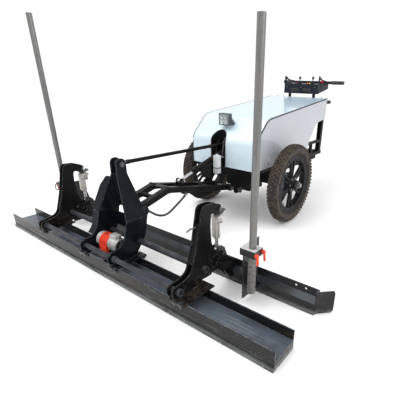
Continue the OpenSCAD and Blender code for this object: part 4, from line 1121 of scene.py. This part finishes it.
def top_link_details():
    """Thread, lock nuts and weld of the adjustable top link."""
    front = Vector((MECH_X, 0.137, 0.675))
    back = Vector((MECH_X, 1.162, 0.655))
    along = (back - front).normalized()
    for i in range(14):
        lathe(front + along * (0.026 + 0.0022 * i), along, [(0, 7.8), (1.1, 9.2), (2.2, 7.8)], 24)
    show("link_thread", "zinc", "top_link")
    lathe(front + along * 0.060, along, [(0, 0), (0, 15), (12, 15), (12, 0)], 6)
    lathe(front + along * 0.840, along, [(0, 0), (0, 15.5), (14, 15.5), (14, 0)], 6)
    weld(front + along * 0.079, along, 0.0126)
    show("link_nuts", "black", "top_link")


# ---- head: pan, towers, vibrator, actuators

TOWERS = {"left": -0.702, "right": 0.642}
ACTUATOR_Y = 0.258
BASES = (-0.736, 0.676, -0.191, 0.131)


def head_welds():
    """Beads where the tubes pass the tower plates and where the legs stand on their base plates."""
    for tower in TOWERS.values():
        for plate in (-0.0232, 0.0232):
            weld((tower + plate, -0.080, 0.165), RIGHT, 0.0155)
            weld((tower + plate, 0.118, 0.206), RIGHT, 0.0185)
        for plate in (-0.0238, 0.0238):
            seam((tower + plate, -0.095, 0.1205), (tower + plate, 0.110, 0.1205), 0.0028)
    for leg in (-0.175, 0.115):
        for plate in (-0.0105, 0.0105):
            seam((leg + plate, -0.060, 0.1205), (leg + plate, 0.100, 0.1205), 0.0028)
    show("head_welds", "black", "head")


def pan_details():
    """Washers and ends of the pan's bolts, and the screws of its sole strip."""
    for base in BASES:
        for x in (base - 0.022, base + 0.022):
            for y in (-0.0975, 0.1095):
                band((x, y, 0.1197), UP, 0.004, 0.0125, 0.0016)
                lathe((x, y, 0.080), UP, [(0, 0), (0, 4.2), (14, 5), (14, 0)], 20)
    show("pan_washers", "pin_steel", "head")
    for i in range(21):
        screw((-1.2 + 0.12 * i, -0.0953, 0.012), FRONT, 0.0045)
    show("strip_screws", "worn", "head")


def vibrator_details():
    """Ribs, end plate, lid and screws of the vibrator motor."""
    y, z = 0.033, 0.178
    for i in range(6):
        band((-0.1115 + 0.0125 * i, y, z), RIGHT, 0.046, 0.0530, 0.0046, 0.0012, 56)
    show("motor_ribs", "orange", "head")
    for start, count in ((-0.155, 4), (-0.036, 8)):
        for i in range(count):
            band((start + 0.0105 * i, y, z), RIGHT, 0.044, 0.0490, 0.0042, 0.0010, 56)
    show("cap_ribs", "cast", "head")
    for x, way in ((0.0455, 1), (-0.1575, -1)):
        lathe((x, y, z), (way, 0, 0), [(0, 37.5), (3, 36.5), (4, 26), (2, 23), (2, 0)], 56)
    show("motor_end_plates", "black_hard", "head")
    for i in range(6):
        turn = pi * (i + 0.5) / 3
        for x, way in ((0.049, 1), (-0.161, -1)):
            screw((x, y + 0.031 * cos(turn), z + 0.031 * sin(turn)), (way, 0, 0), 0.0034)
    for x in (-0.031, 0.021):
        for across in (0.016, 0.050):
            screw((x, across, 0.2445), UP, 0.0030)
    for x in (-0.102, -0.054):
        for across in (-0.015, 0.079):
            bolt((x, across, 0.1195), UP, 0.006)
    show("motor_screws", "zinc", "head")
    block((-0.0375, 0.0095, 0.2405), (0.0275, 0.0565, 0.2450), 0.0015)
    show("motor_box_lid", "cast", "head")


def actuator_details():
    """Clamp bands, head screws, motor caps and rod-end nuts of the two plough actuators."""
    for name, x in TOWERS.items():
        for z in (0.352, 0.430):
            band((x, ACTUATOR_Y, z), UP, 0.0205, 0.0222, 0.007)
        for side in (-1, 1):
            for y in (0.245, 0.296):
                screw((x + side * 0.0208, y, 0.463), (side, 0, 0), 0.0030)
        show("actuator_bands_" + name, "zinc", "head")
        lathe((x, 0.287, 0.427), DOWN, [(0, 17.2), (4, 17.2), (8, 13), (10, 6), (10, 0)], 36)
        lathe((x, ACTUATOR_Y, 0.339), DOWN, [(0, 20.5), (3, 20), (6, 12.5), (6, 10.5)], 36)
        show("actuator_caps_" + name, "black_hard", "head")
        lathe((x, ACTUATOR_Y, 0.279), UP, [(0, 10.2), (0, 14.5), (10, 14.5), (10, 10.2)], 6)
        show("rod_nuts_" + name, "zinc", "actuator_rods")
        for side in (-1, 1):
            clip_ring((x + side * 0.0285, ACTUATOR_Y, 0.517), (side, 0, 0), 0.006)
        show("hook_rings_" + name, "zinc", "head")


def lead_glands():
    """Glands of the leads on the towers and on the pan's seat."""
    for line in (LEFT_LEAD, RIGHT_LEAD):
        start, ahead = Vector(line[0]), (Vector(line[1]) - Vector(line[0])).normalized()
        lathe(start, ahead, [(-2, 7.5), (4, 7.2), (6, 5.5), (9, 4), (9, 3.4)], 24)
    for line in (LEFT_LEAD, MOTOR_LEAD):
        start, ahead = Vector(line[-1]), (Vector(line[-2]) - Vector(line[-1])).normalized()
        lathe(start, ahead, [(-1, 7.2), (3, 7), (5, 5.5), (7, 4), (7, 3.4)], 24)
    show("lead_glands", "knob", "head")


# ---- plough and masts

MASTS = {"left": -0.963, "right": 0.903}
MAST_FOOT = {"left": 0.227, "right": 0.092}
MAST_LENGTH = 1.303
MAST_Y = 0.237


def mast_details():
    """Rim and dark bore at each mast's top, and the nuts of the clamps."""
    for name, x in MASTS.items():
        top = MAST_FOOT[name] + MAST_LENGTH
        lathe((x, MAST_Y, top), UP, [(-12, 17), (0.4, 17), (0.8, 18.8), (0.2, 19), (-4, 19.1)], 48)
        show("mast_rim_" + name, "zinc_tube", "mast_" + name)
        disc((x, MAST_Y, top - 0.006), UP, 0.0172, 0.003, 0.0005, 40)
        show("mast_bore_" + name, "trim", "mast_" + name)
        for y in (0.205, 0.269):
            bolt((x - SIDES[name] * 0.0392, y, 0.342), (-SIDES[name], 0, 0), 0.007)
        show("clamp_nuts_" + name, "zinc", "plough")


def plough_details():
    """Weld beads at the tops of the mast sockets."""
    for x in MASTS.values():
        weld((x, MAST_Y, 0.3215), UP, 0.0232)
    show("plough_welds", "black", "plough")


make_camera()
make_light()
MATERIALS = make_materials()
make_floor()
finish_cad(MATERIALS)
cords()
hose_ends()
wheels()
hood_trims()
slot_shade_sheets()
lamp()
lever_boots()
gauge()
console_fittings()
grips()
under_hood()
pin_ends()
boom_details()
cylinder_details()
reserve_bottle()
top_link_details()
head_welds()
pan_details()
vibrator_details()
actuator_details()
lead_glands()
mast_details()
plough_details()
